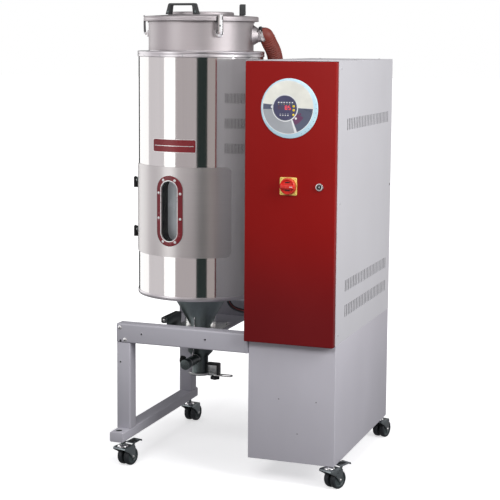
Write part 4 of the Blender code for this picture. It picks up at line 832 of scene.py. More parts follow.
def build_door():
    """Control door as a folded tray, and what sits on it."""
    door = Piece("door_panel", "door", ("control_door",), "door_red")
    skin = 0.0015
    (x0, x1), (y0, y1), (z0, z1) = DOOR_X, DOOR_Y, DOOR_Z
    corner = 0.003
    steps = 4
    # folded tray: front face, rounded edges and four flanges as one sheet
    rings = [(0.0, y1), (0.0, y0 + corner)]
    for k in range(1, steps + 1):
        a = math.radians(90 * k / steps)
        rings.append((corner * (1 - math.cos(a)), y0 + corner * (1 - math.sin(a))))
    verts, rows = [], []
    for inset, y in rings + [(max(i, skin) if y > y0 + skin else i + skin * 0.4, max(y, y0 + skin))
                             for i, y in rings[::-1]]:
        rows.append(len(verts))
        outline = rounded((x0 + x1) / 2, (z0 + z1) / 2, x1 - x0 - 2 * inset, z1 - z0 - 2 * inset,
                          max(0.0016, 0.003 - inset), 3)
        verts += [(a, y, b) for a, b in outline]
    n, half, faces = len(outline), len(rings), []
    pairs = [pair for i, pair in enumerate(zip(rows, rows[1:])) if i != half - 1]
    pairs.append((rows[0], rows[-1]))
    for a, b in pairs:
        faces += [(a + k, a + (k + 1) % n, b + (k + 1) % n, b + k) for k in range(n)]
    faces.append(tuple(range(rows[half - 1], rows[half - 1] + n)))
    faces.append(tuple(range(rows[half], rows[half] + n)))
    # door tray in the door paint, with its painted shade towards the foot
    door.add(verts, faces, DOOR_PAINT_WITH_SHADE)
    # seal strip and stiffener inside the tray
    for xa, xb in ((x0 + 0.004, x0 + 0.014), (x1 - 0.014, x1 - 0.004)):
        door.box((xa, xb), (y1 - 0.008, y1 - 0.0004), (z0 + 0.006, z1 - 0.006), SEAL_BLACK, 0.001)
    for z in (z0 + 0.3, z1 - 0.42):
        door.box((x0 + 0.02, x1 - 0.02), (y0 + skin, y0 + 0.012), (z, z + 0.03), DOOR_PAINT_WITH_SHADE, 0.001)
    door.make()
    build_display()
    build_switch()
    build_lock()


def sector(cx, cz, r_in, r_out, start, stop, steps=40):
    """Outline of part of a ring, angles measured from +x towards +z."""
    out = circle(cx, cz, r_out, steps, start, stop - start)
    if r_in < 1e-6:
        return out + [(cx, cz)]
    return out + circle(cx, cz, r_in, steps, start, stop - start)[::-1]


SEGMENTS = {"0": "abcdef", "1": "bc", "2": "abged", "3": "abgcd", "4": "fgbc", "5": "afgcd",
            "6": "afgedc", "7": "abc", "8": "abcdefg", "9": "abcdfg"}


def digit(piece, char, cx, cz, w, h, y, mat):
    """Seven-segment figure."""
    t = 0.002
    places = {"a": (0, h / 2, w, t), "g": (0, 0, w, t), "d": (0, -h / 2, w, t),
              "f": (-w / 2, h / 4, t, h / 2), "b": (w / 2, h / 4, t, h / 2),
              "e": (-w / 2, -h / 4, t, h / 2), "c": (w / 2, -h / 4, t, h / 2)}
    for key in SEGMENTS[char]:
        dx, dz, sw, sh = places[key]
        piece.box((cx + dx - sw / 2 + 0.0002, cx + dx + sw / 2 - 0.0002), (y - 0.0002, y),
                  (cz + dz - sh / 2 + 0.0002, cz + dz + sh / 2 - 0.0002), mat)


def build_display():
    """Round display: printed fields, figures and lamps, no lettering."""
    cx, cz, face = -0.1787, 1.433, DOOR_FACE
    level = face - 0.0034
    film = Piece("display_film", "door", ("display_panel",), "display_film")
    film.lathe([(0.0, 0.0033), (0.1075, 0.0033), (0.1092, 0.0026), (0.11, 0.0012), (0.11, 0.0),
                (0.0, 0.0)], (cx, face, cz), FILM_BLUE, "y", 128)
    mx, mz = cx - 0.005, cz + 0.004           # printed disc sits up and to the left

    def inlay(outline, mat, depth):
        film.prism(outline, "y", level - depth, level + 0.0004, mat)

    inlay(circle(mx, mz, 0.0985, 96), FILM_WHITE, 0.0001)
    hub_x, hub_z = cx - 0.0158, cz + 0.0015
    inlay(sector(mx, mz, 0.0, 0.096, -1.0, 172.0), FILM_CREAM, 0.0002)
    inlay(sector(mx, mz, 0.0, 0.096, 186.0, 286.0), FILM_GREY, 0.0002)
    inlay(sector(mx, mz, 0.0, 0.096, -68.0, -2.5), FILM_SLATE, 0.00024)
    inlay(sector(mx, mz, 0.0, 0.07, -66.0, -31.0), FILM_PURPLE, 0.0003)
    inlay([(mx - 0.0955, mz + 0.0125), (mx - 0.0955, mz - 0.009), (mx - 0.05, mz - 0.0065),
           (mx - 0.05, mz + 0.0085)], FILM_SLATE, 0.00028)
    inlay(circle(hub_x, hub_z, 0.05, 80), FILM_WHITE, 0.00034)
    inlay(circle(hub_x, hub_z, 0.0462, 80), FILM_SLATE, 0.0004)
    inlay(circle(hub_x, hub_z, 0.044, 80), FILM_NAVY, 0.00046)
    inlay(circle(mx - 0.061, mz + 0.001, 0.0052, 28), FILM_WHITE, 0.0004)
    top = level - 0.00046
    # rows of small icons and lamps
    for k in range(6):
        x = hub_x - 0.027 + k * 0.0105
        film.box((x, x + 0.0052), (top - 0.0002, top), (hub_z + 0.018, hub_z + 0.0222), FILM_WHITE)
        film.box((x + 0.0016, x + 0.0038), (top - 0.0003, top), (hub_z + 0.0128, hub_z + 0.0148),
                 LAMP_GREEN if k % 2 else BUTTON_YELLOW)
    for k in range(4):
        x = hub_x - 0.02 + k * 0.0098
        film.box((x, x + 0.004), (top - 0.0002, top), (hub_z - 0.0285, hub_z - 0.025), FILM_WHITE)
        film.box((x, x + 0.004), (top - 0.0002, top), (hub_z - 0.0215, hub_z - 0.02), FILM_GREY)
    for k, char in enumerate("85"):
        digit(film, char, hub_x + 0.004 + k * 0.0125, hub_z + 0.001, 0.0072, 0.0135, top, LED_RED)
        digit(film, "8", hub_x - 0.0235 + k * 0.0115, hub_z + 0.001, 0.0062, 0.011, top, LED_DIM)
    film.prism(circle(mx + 0.048, mz - 0.0235, 0.0042, 20), "y", level - 0.0005, level, FILM_PURPLE)
    film.prism(circle(mx + 0.031, mz - 0.04, 0.0042, 20), "y", level - 0.0005, level, FILM_WHITE)
    # plain index marks along the blue rim
    for k in range(9):
        a = math.radians(-62 + 9 * k)
        x, z = cx + 0.1035 * math.cos(a), cz + 0.1035 * math.sin(a)
        film.prism(circle(x, z, 0.0012, 10), "y", level - 0.0002, level + 0.0002, FILM_SLATE)
    film.make()
    for k, (bx, bz) in enumerate(((-0.1612, 1.4412), (-0.1612, 1.427), (-0.1622, 1.4098))):
        names = ("upper_button", "middle_button", "lower_button")
        key = Piece(f"key_{k + 1}", names[k], (f"button_{k + 1}",), "yellow_plate")
        key.lathe([(0.0, 0.0049), (0.0028, 0.0048), (0.0042, 0.0043), (0.0046, 0.0036),
                   (0.0046, 0.002), (0.0, 0.002)], (bx, face, bz), BUTTON_YELLOW, "y", 28)
        key.make()


def build_switch():
    """Main switch on its yellow plate."""
    x, z, face = -0.179, 1.147, DOOR_FACE
    plate = Piece("switch_base", "door", ("switch_plate",), "yellow_plate")
    plate.prism(rounded(x, z, 0.066, 0.066, 0.0045), "y", face - 0.004, face, SWITCH_YELLOW, 0.0009)
    plate.lathe([(0.032, 0.0052), (0.0316, 0.004), (0.03, 0.004), (0.03, 0.005)], (x, face, z),
                SWITCH_RED, "y", 64)
    for dx in (-0.027, 0.027):
        for dz in (-0.027, 0.027):
            screw(plate, (x + dx, face - 0.004, z + dz), (0, -1, 0), 0.003, 0.001, SWITCH_YELLOW)
    plate.make()
    knob = Piece("switch_handle", "main_switch", ("switch_knob",), "switch_red")
    knob.lathe([(0.0, 0.013), (0.02, 0.013), (0.0225, 0.015), (0.0255, 0.0188), (0.0272, 0.019),
                (0.0288, 0.0172), (0.029, 0.006), (0.0282, 0.0045), (0.006, 0.0045),
                (0.006, -0.0095), (0.0, -0.0095)], (x, face, z), SWITCH_RED, "y", 72)
    grip = [(x - 0.0245, face - 0.027), (x - 0.0225, face - 0.0288), (x + 0.0225, face - 0.0288),
            (x + 0.0245, face - 0.027), (x + 0.0262, face - 0.015), (x + 0.0262, face - 0.012),
            (x - 0.0262, face - 0.012), (x - 0.0262, face - 0.015)]
    knob.prism(grip, "z", z - 0.0062, z + 0.0062, SWITCH_RED, 0.0012)
    knob.box((x + 0.012, x + 0.0235), (face - 0.0292, face - 0.0282), (z - 0.001, z + 0.001),
             FILM_WHITE)
    for dz in (-0.015, 0.015):
        knob.prism(rounded(x, z + dz, 0.019, 0.004, 0.0018, 3), "y", face - 0.0134, face - 0.012,
                   SEAL_BLACK)
    knob.make()


def build_lock():
    """Quarter-turn lock."""
    x, z, face = -0.06, 1.148, DOOR_FACE
    lock = Piece("quarter_turn_lock", "door_lock", ("lock_cylinder",), "chrome")
    lock.lathe([(0.0, 0.003), (0.0088, 0.003), (0.0096, 0.0056), (0.0112, 0.0062), (0.0132, 0.0058),
                (0.0145, 0.0044), (0.0149, 0.0), (0.0095, 0.0), (0.0095, -0.016), (0.0, -0.016)],
               (x, face, z), CHROME, "y", 48)
    # dark disc in the lock face: painted shade of its recess
    lock.rod((x, face - 0.0029, z), (x, face - 0.0033, z), 0.0086, HOLE_SHADE, 32)
    lock.rod((x, face - 0.003, z), (x, face - 0.0052, z), 0.003, ZINC, 20)
    lock.box((x - 0.0008, x + 0.0008), (face - 0.0054, face - 0.0032), (z + 0.001, z + 0.0062),
             ZINC)
    lock.prism(rounded(x + 0.0128, z, 0.007, 0.008, 0.002, 3), "y", face - 0.0058, face - 0.0006,
               CHROME, 0.0006)
    lock.box((x - 0.006, x + 0.006), (-0.0145, -0.012), (z - 0.006, z + 0.0295), ZINC, 0.0006)
    lock.make()


# --------------------------------------------------------------------- hopper
APEX, SLOPE = 0.447, math.tan(math.radians(30))
KNEE = APEX + 0.2105 / SLOPE
OPENING = (WINDOW_AZ, 51.0, 0.866, 1.154, 0.015)


def cone_radius(height):
    return (height - APEX) * SLOPE


def build_vessel():
    """Inner vessel, cone, jacket, top ring and the plain badge."""
    vessel = Piece("vessel_shell", "stand", ("hopper_vessel",), "satin_steel")
    vessel.shell(0.2105, KNEE, 1.7475, COLLAR_STEEL, OPENING, 180, 0.002)
    vessel.lathe([(0.212, 1.753), (0.2136, 1.7524), (0.214, 1.7505), (0.214, 1.7475),
                  (0.2085, 1.7475), (0.2085, 1.753)], HOPPER, COLLAR_STEEL, steps=160)
    # weld bead where the collar meets the top ring
    vessel.lathe([(0.2118, 1.6362), (0.2112, 1.638), (0.2104, 1.6386), (0.2104, 1.6362)], HOPPER,
                 RING_STEEL, steps=160)
    start, mouth = (hopper_point(SPIGOT_AZ, r, SPIGOT_Z) for r in (0.207, 0.258))
    axis = (mouth - start).normalized()
    vessel.rod(start, start + axis * 0.023, 0.042, COLLAR_STEEL, 40, 0.028)
    vessel.tube([start + axis * 0.004, start + axis * 0.02, mouth], 0.0272, COLLAR_STEEL, 40,
                0.0022)
    for _, az in LATCHES:
        vessel.block(az, 0.03, 0.209, 0.2215, 1.692, 1.718, CHROME, 0.0012)
        out, side = hopper_axes(az)
        for s in (-1, 1):
            vessel.block(az, 0.003, 0.22, 0.23, 1.699, 1.711, CHROME, 0.0006, s * 0.0135)
            screw(vessel, HOPPER + out * 0.2215 + side * s * 0.0085 + Vector((0, 0, 1.6965)), out,
                  0.0024, 0.0012)
        pin = hopper_point(az, PIVOT_R, PIVOT_Z)
        vessel.rod(pin - side * 0.016, pin + side * 0.016, 0.0018, BRIGHT_STEEL, 12)
    vessel.make()

    cone = Piece("cone_shell", "stand", ("hopper_cone",), "satin_steel")
    throat = cone_radius(0.5118)
    # cone in the darkened steel: painted shade on its underside
    cone.lathe([(0.2105, KNEE), (cone_radius(0.66), 0.66), (throat, 0.5118), (throat, 0.5066),
                (0.0352, 0.5066), (0.0352, 0.511), (0.2078, KNEE)], HOPPER, CONE_STEEL_SHADED, steps=128)
    ring = rounded(HOPPER.x, HOPPER.y, 0.2, 0.2, 0.004, 4)
    cone.plate(ring, bored(ring, HOPPER.x, HOPPER.y, 0.0378), 0.5066, 0.5126, BRIGHT_STEEL)
    for k in range(4):
        a = math.radians(90 * k)
        out, side = Vector((math.cos(a), math.sin(a), 0)), Vector((-math.sin(a), math.cos(a), 0))
        corners = ((throat - 0.001, 0.512), (0.0665, 0.512), (0.0665, 0.56),
                   (cone_radius(0.56) - 0.001, 0.56))
        points = [HOPPER + out * r - side * 0.0015 + Vector((0, 0, z)) for r, z in corners]
        cone.slab(points, side * 0.003, BRIGHT_STEEL, 0.0005)
    for sx in (-1, 1):
        for sy in (-1, 1):
            where = HOPPER + Vector((sx * 0.086, sy * 0.086, 0.5126))
            cone.rod(where, where + Vector((0, 0, 0.0065)), 0.0075, BRIGHT_STEEL, 6, bevel=0.0005)
    cone.make()

    jacket = Piece("jacket_shell", "stand", ("insulation_jacket",), "polished_steel")
    jacket.shell(0.251, 0.676, 1.6127, JACKET_STEEL, OPENING, 256)
    jacket.lathe([(0.2512, 0.6766), (0.253, 0.676), (0.2535, 0.674), (0.2535, 0.6625),
                  (0.252, 0.66),
                  (0.127, 0.66), (0.127, 0.6615), (0.2498, 0.6615), (0.2498, 0.6766)], HOPPER,
                 RING_STEEL, steps=192)
    # lapped seam on the cabinet side and the row of rivets beside it
    jacket.curved(88.0, 0.9, 0.6775, 1.612, 0.2508, 0.2516, 0.001, JACKET_STEEL, 3, 3)
    for k in range(12):
        z = 0.72 + 0.0775 * k
        jacket.dome(hopper_point(88.5, 0.2515, z), hopper_axes(88.5)[0], 0.0026, 0.001,
                    BRIGHT_STEEL, 12)
    jacket.make()

    ring = Piece("top_ring", "stand", ("hopper_top_ring",), "satin_steel")
    ring.lathe([(0.2495, 1.636), (0.253, 1.6356), (0.2545, 1.6342), (0.2545, 1.6262),
                (0.2537, 1.6248),
                (0.2545, 1.6236), (0.2545, 1.615), (0.253, 1.6132), (0.2112, 1.6132),
                (0.2112, 1.636)], HOPPER, RING_STEEL, steps=192)
    for k in range(16):
        az = 5.5 + 22.5 * k
        ring.dome(hopper_point(az, 0.2543, 1.6192), hopper_axes(az)[0], 0.003, 0.0013, ZINC, 14)
    ring.make()

    badge = Piece("plain_badge", "stand", (), "red_trim")
    badge.curved(-4.0, 22.0, 1.244, 1.297, 0.2511, 0.2516, 0.008, BADGE_RIM, 24, 6)
    badge.curved(-4.0, 21.3, 1.2465, 1.2945, 0.2512, 0.252, 0.0065, BADGE_RED, 24, 6)
    badge.curved(-4.0, 19.6, 1.269, 1.2712, 0.2513, 0.2523, 0.001, BADGE_RIM, 20, 3)
    badge.make()


def build_cleaning_door():
    """Clean-out door with its window."""
    door = Piece("cleaning_door_shell", "clean_out_door", ("cleaning_door",), "satin_steel")
    az = WINDOW_AZ

    def stadium(scale_az, scale_z, corner, radius, count=9):
        """Outline of the window, bent to a radius."""
        width = 2 * math.radians(scale_az) * SKIN_R
        flat = rounded(0.0, WINDOW_Z, width, 2 * scale_z, corner, count - 1)
        return [hopper_point(az + math.degrees(s / SKIN_R), radius, z) for s, z in flat]

    door.slotted(az, 56.7, 0.833, 1.188, 0.2518, 0.2547, 0.024, 8.15, 0.12, 0.0352, SATIN_STEEL)
    door.frame_loop((stadium(9.3, 0.128, 0.0405, 0.2135), stadium(9.3, 0.128, 0.0405, 0.2519)),
                    (stadium(8.1, 0.1195, 0.035, 0.2135), stadium(8.1, 0.1195, 0.035, 0.2522)),
                    SEAL_BLACK)
    door.slotted(az, 49.8, 0.872, 1.148, 0.2137, 0.2517, 0.012, 9.0, 0.125, 0.039, SATIN_STEEL)
    door.curved(az, 8.9, 0.888, 1.142, 0.214, 0.2152, 0.038, GRANULATE, 14, 10)
    hinge = hopper_point(-68.5, 0.264, 0.0)
    for z in (1.106, 0.906):
        door.rod(hinge + Vector((0, 0, z + 0.0003)), hinge + Vector((0, 0, z + 0.022)), 0.0076,
                 SEAL_BLACK, 24, bevel=0.0006)
        door.block(-64.9, 0.034, 0.2531, 0.2592, z + 0.002, z + 0.02, DARK_STEEL_AND_SHADE, 0.001)
        out, side = hopper_axes(-64.9)
        for s in (0.004, 0.0125):
            screw(door, HOPPER + out * 0.2592 + side * s + Vector((0, 0, z + 0.011)), out, 0.0034,
                  0.0016)
    door.make()

    bezel = Piece("window_bezel", "clean_out_door", ("window_frame",), "red_trim")
    bezel.frame_loop((stadium(12.95, 0.14, 0.0575, 0.2552), stadium(12.75, 0.1391, 0.0566, 0.2596)),
                     (stadium(8.05, 0.119, 0.0348, 0.2552), stadium(8.25, 0.1199, 0.0356, 0.2606)),
                     TRIM_RED, 0.0007)
    bezel.frame_loop((stadium(13.15, 0.1408, 0.0584, 0.2549),
                      stadium(13.1, 0.1406, 0.0582, 0.2562)),
                     (stadium(12.8, 0.1392, 0.0568, 0.2549), stadium(12.8, 0.1392, 0.0568, 0.2562)),
                     BRIGHT_STEEL)
    bezel.frame_loop((stadium(8.55, 0.1212, 0.037, 0.259), stadium(8.5, 0.121, 0.0368, 0.2611)),
                     (stadium(7.85, 0.1182, 0.034, 0.259), stadium(7.9, 0.1184, 0.0342, 0.2611)),
                     BADGE_RIM)
    for s, z in ((-5.6, 0.121), (5.6, 0.121), (-10.7, 0.07), (10.7, 0.07), (-10.7, -0.029),
                 (10.7, -0.029), (-6.0, -0.1205), (6.0, -0.1205)):
        out = hopper_axes(az + s)[0]
        where = hopper_point(az + s, 0.2596, WINDOW_Z + z)
        bezel.rod(where, where + out * 0.0008, 0.0052, BADGE_RIM, 20)
        bezel.dome(where + out * 0.0006, out, 0.0044, 0.0022, BADGE_RIM, 16)
    bezel.make()
    pane = Piece("sight_pane", "clean_out_door", ("window_glass",), "window_glass")
    pane.curved(az, 8.9, 0.888, 1.142, 0.2557, 0.2573, 0.0385, GLASS, 14, 10)
    pane.make()


def build_lid():
    """Lid, its two handles and the three toggle latches."""
    lid = Piece("lid_pressing", "lid", ("hopper_lid",), "satin_steel")
    lid.lathe([(0.0, 1.7905), (0.126, 1.7905), (0.129, 1.7895), (0.1306, 1.7868), (0.1312, 1.781),
               (0.1332, 1.779), (0.224, 1.7732), (0.2278, 1.7724), (0.2296, 1.7704), (0.23, 1.768),
               (0.23, 1.7565), (0.2306, 1.755), (0.23, 1.7536), (0.2282, 1.7536), (0.228, 1.77),
               (0.205, 1.7715), (0.205, 1.745), (0.203, 1.745), (0.203, 1.7717), (0.13, 1.7765),
               (0.127, 1.788), (0.0, 1.788)], HOPPER, COLLAR_STEEL, steps=160)
    lid.lathe([(0.23, 1.762), (0.2304, 1.761), (0.23, 1.76), (0.2296, 1.761)], HOPPER, RING_STEEL,
              steps=160)
    lid.make()
    for label, az in (("front", -4.0), ("rear", 112.0)):
        handle = Piece("handle_" + label, "lid", ("lid_handle_" + label,), "black_plastic")
        out, side = hopper_axes(az)
        base = HOPPER + out * 0.165 + Vector((0, 0, 1.7788))
        outline = [(-0.07, 0.0), (-0.069, 0.004), (-0.059, 0.0385), (-0.0565, 0.0415),
                   (-0.0525, 0.043),
                   (0.0525, 0.043), (0.0565, 0.0415), (0.059, 0.0385), (0.069, 0.004), (0.07, 0.0),
                   (0.049, 0.0), (0.0452, 0.0325), (0.043, 0.0345), (-0.043, 0.0345),
                   (-0.0452, 0.0325), (-0.049, 0.0)]
        points = [base + side * s + Vector((0, 0, h)) - out * 0.0108 for s, h in outline]
        handle.slab(points, out * 0.0216, BLACK_PLASTIC, 0.0022, 3)
        for s in (-0.06, 0.06):
            where = base + side * s + out * 0.0104 + Vector((0, 0, 0.0105))
            handle.rod(where, where + out * 0.0006, 0.004, DARK_STEEL_AND_SHADE, 16)
        handle.make()
    for label, az in LATCHES:
        latch = Piece("latch_" + label + "_lever", "latch_" + label, ("lid_latch_" + label,),
                      "chrome")
        out, side = hopper_axes(az)

        def at(r, w, z):
            return HOPPER + out * r + side * w + Vector((0, 0, z))

        profile = [(0.2318, 1.7035), (0.235, 1.7035), (0.2356, 1.725), (0.2346, 1.748),
                   (0.2352, 1.764),
                   (0.2376, 1.777), (0.2352, 1.778), (0.2328, 1.765), (0.2322, 1.748),
                   (0.233, 1.725)]
        latch.slab([at(r, -0.0085, z) for r, z in profile], side * 0.017, CHROME, 0.0005)
        for s in (-1, 1):
            wire = [at(PIVOT_R, s * 0.0118, PIVOT_Z), at(0.2312, s * 0.0118, 1.706),
                    at(0.233, s * 0.0116, 1.72),
                    at(0.2336, s * 0.0112, 1.745), at(0.233, s * 0.0108, 1.764),
                    at(0.2326, s * 0.0096, 1.7735)]
            latch.tube(smooth_path(wire, 14), 0.0016, BLACK_PLASTIC, 10)
        latch.tube([at(0.2326, -0.0096, 1.7735), at(0.2326, 0.0, 1.7742),
                    at(0.2326, 0.0096, 1.7735)], 0.0016, BRIGHT_STEEL, 10)
        pivot = hopper_point(az, PIVOT_R, PIVOT_Z)
        latch.rod(pivot - side * 0.0112, pivot + side * 0.0112, 0.0041, CHROME, 20, bevel=0.0004)
        latch.slab([at(PIVOT_R, -0.009, 1.7028), at(PIVOT_R, -0.009, 1.7072),
                    at(0.233, -0.009, 1.7072),
                    at(0.233, -0.009, 1.7028)], side * 0.018, CHROME, 0.0004)
        latch.rod(at(0.2352, 0.0, 1.735), at(0.2366, 0.0, 1.735), 0.0036, DARK_STEEL_AND_SHADE, 16)
        latch.make()


# ------------------------------------------------------------------ discharge
def build_discharge():
    """Slide gate, outlet, suction cap, regulator and drain flap."""
    x, y = HOPPER.x, HOPPER.y
    # gate, outlet, suction cap and flap use the darkened steel: painted shade under the hopper
    housing = Piece("gate_body", "stand", ("gate_housing",), "dark_steel")
    for z0, z1 in ((0.4835, 0.4893), (0.4937, 0.5)):
        ring = rounded(x, y, 0.17, 0.17, 0.004, 4)
        housing.plate(ring, bored(ring, x, y, 0.0352), z0, z1, DARK_STEEL_AND_SHADE)
    for ya, yb in ((y - 0.0848, y - 0.066), (y + 0.066, y + 0.0848)):
        housing.box((x - 0.0848, x + 0.0848), (ya, yb), (0.489, 0.494), DARK_STEEL_AND_SHADE)
    housing.box((x + 0.065, x + 0.0848), (y - 0.07, y + 0.07), (0.489, 0.494), DARK_STEEL_AND_SHADE)
    for sx in (-1, 1):
        for sy in (-1, 1):
            where = Vector((x + sx * 0.075, y + sy * 0.075, 0.4835))
            housing.rod(where, where - Vector((0, 0, 0.006)), 0.007, BRIGHT_STEEL, 6, bevel=0.0005)
    housing.make()
    slide = Piece("gate_plate", "gate", ("gate_slide",), "zinc_plate")
    slide.box((-0.797, x + 0.06), (y - 0.0655, y + 0.0655), (0.4897, 0.4933), ZINC, 0.0004)
    upstand = [(y - 0.0655, 0.49), (y + 0.0655, 0.49), (y + 0.075, 0.515), (y + 0.075, 0.55),
               (y + 0.072, 0.553), (y - 0.072, 0.553), (y - 0.075, 0.55), (y - 0.075, 0.515)]
    slide.prism(upstand, "x", -0.797, -0.794, DARK_STEEL_AND_SHADE, 0.0006)
    slide.make()
    grip = Piece("gate_handle", "gate", ("gate_grip",), "black_plastic")
    grip.prism(rounded(-0.81015, 0.53975, 0.0257, 0.0255, 0.006, 5), "y", y - 0.072, y + 0.072,
               BLACK_PLASTIC, 0.0016)
    for end in (-1, 1):
        face = y + end * 0.072
        screw(grip, (-0.809, face, 0.5395), (0, end, 0), 0.0062, 0.0026, BRIGHT_STEEL)
    grip.make()

    outlet = Piece("outlet_casting", "stand", ("outlet_pipe",), "dark_steel")
    outlet.lathe([(0.0748, 0.483), (0.075, 0.4822), (0.075, 0.478), (0.0742, 0.4772),
                  (0.0526, 0.4772),
                  (0.052, 0.476), (0.052, 0.409), (0.051, 0.407), (0.0336, 0.388), (0.033, 0.386),
                  (0.033, 0.3262), (0.035, 0.3232), (0.031, 0.3232), (0.031, 0.386), (0.05, 0.407),
                  (0.05, 0.475), (0.0352, 0.48), (0.0352, 0.483)], (x, y, 0), DARK_STEEL_AND_SHADE, steps=96)
    outlet.lathe([(0.0474, 0.3232), (0.048, 0.3226), (0.048, 0.317), (0.0474, 0.3165),
                  (0.031, 0.3165), (0.031, 0.3232)], (x, y, 0), BRIGHT_STEEL, steps=96)
    outlet.tube([(x, y - 0.0318, BRANCH_Z), (x, y - 0.1, BRANCH_Z), (x, 0.1935, BRANCH_Z)], 0.0195,
                DARK_STEEL_AND_SHADE, 48, 0.002)
    for yy in (0.212, 0.29):
        outlet.lathe([(0.0202, -0.002), (0.0206, -0.001), (0.0206, 0.001), (0.0202, 0.002),
                      (0.019, 0.002), (0.019, -0.002)], (x, yy, BRANCH_Z), ZINC, "y", 48)
    outlet.rod((x - 0.018, 0.26, BRANCH_Z), (x - 0.033, 0.26, BRANCH_Z), 0.007, DARK_STEEL_AND_SHADE, 20)
    # stay bracket from the outlet to the branch and the clamp bracket
    outlet.slab([Vector((x - 0.001, y - 0.05, 0.47)), Vector((x - 0.001, y - 0.05, 0.41)),
                 Vector((x - 0.001, y - 0.09, 0.404)), Vector((x - 0.001, y - 0.07, 0.44))],
                (0.002, 0, 0), BRIGHT_STEEL, 0.0003)
    bracket = [(x + 0.0322, 0.356), (x + 0.0322, 0.362), (-0.598, 0.362), (-0.595, 0.3608),
               (-0.594, 0.358), (-0.594, 0.3168), (-0.6, 0.3168), (-0.6, 0.356)]
    outlet.prism(bracket, "y", y - 0.0175, y + 0.0175, BLACK_PLASTIC, 0.0006)
    outlet.prism([(x + 0.0322, 0.3222), (x + 0.0322, 0.3556), (-0.6004, 0.3556), (-0.6004, 0.3222)],
                 "y", y - 0.0015, y + 0.0015, ZINC, 0.0004)
    outlet.box((x + 0.04, -0.599), (y - 0.0172, y + 0.0172), (0.3166, 0.3214), ZINC, 0.0005)
    screw(outlet, (x + 0.048, y - 0.0175, 0.333), (0, -1, 0), 0.005, 0.003, BRIGHT_STEEL)
    outlet.make()

    cap = Piece("suction_cap", "stand", ("suction_filter",), "dark_steel")
    cap.lathe([(0.0, 0.0124), (0.018, 0.0126), (0.0198, 0.012), (0.0209, 0.0106), (0.021, -0.01),
               (0.0198, -0.01), (0.0198, 0.0003), (0.0, 0.0003)], (x, 0.193, BRANCH_Z), DARK_STEEL_AND_SHADE,
              "y", 64)
    # perforations drawn as dark dots: painted shade of the holes
    for row in range(-3, 4):
        for col in range(-3, 4):
            dx, dz = (col + 0.5 * (row % 2)) * 0.005, row * 0.0044
            if math.hypot(dx, dz) < 0.0158:
                cap.rod((x + dx, 0.193 - 0.0124, BRANCH_Z + dz),
                        (x + dx, 0.193 - 0.0127, BRANCH_Z + dz), 0.0013, HOLE_SHADE, 8)
    cap.make()

    knob = Piece("regulator_cap", "regulator", ("air_regulator_knob",), "black_plastic")
    turn = Matrix.Rotation(math.radians(-90), 3, "Y")
    knob.lathe([(0.0, 0.0186), (0.0125, 0.0186), (0.015, 0.0172), (0.0158, 0.015), (0.0162, 0.003),
                (0.015, 0.0004), (0.0, 0.0004)], (x - 0.0333, 0.26, BRANCH_Z), BLACK_PLASTIC, turn,
               48)
    for k in range(24):
        a = 2 * math.pi * k / 24
        c = Vector((0, 0.016 * math.cos(a), 0.016 * math.sin(a)))
        knob.rod(Vector((x - 0.0365, 0.26, BRANCH_Z)) + c, Vector((x - 0.049, 0.26, BRANCH_Z)) + c,
                 0.001, BLACK_PLASTIC, 8)
    knob.make()

    flap = Piece("flap_plate", "flap", ("drain_flap",), "dark_steel")
    out = [(x + 0.0419 * math.cos(math.radians(a)), y + 0.0419 * math.sin(math.radians(a)))
           for a in range(24, 337, 6)]
    flap.prism(out + [(-0.618, y - 0.0168), (-0.618, y + 0.0168)], "z", 0.3121, 0.3159, DARK_STEEL_AND_SHADE,
               0.0005)
    loop_out = rounded(-0.579, y, 0.088, 0.0335, 0.016, 8)
    loop_in = rounded(-0.564, y, 0.043, 0.02, 0.0095, 8)
    flap.plate(loop_out, loop_in, 0.3122, 0.3158, BRIGHT_STEEL, 0.0006)
    flap.make()
    star = Piece("star_grip", "flap_knob", ("star_knob",), "black_plastic")
    outline = []
    for k in range(80):
        a = 2 * math.pi * k / 80
        r = 0.0172 + 0.0023 * math.cos(5 * a)
        outline.append((-0.6126 + r * math.cos(a), y + r * math.sin(a)))
    star.prism(outline, "z", 0.2952, 0.3084, BLACK_PLASTIC, 0.002, 3)
    star.lathe([(0.008, 0.3117), (0.0084, 0.31), (0.0092, 0.308), (0.0, 0.308), (0.0, 0.3117)],
               (-0.6126, y, 0), BLACK_PLASTIC, steps=32)
    star.rod((-0.6126, y, 0.3116), (-0.6126, y, 0.3288), 0.0029, BRIGHT_STEEL, 16, bevel=0.0004)
    star.make()


# --------------------------------------------------------------------- hoses
RIB_PITCH = 0.01


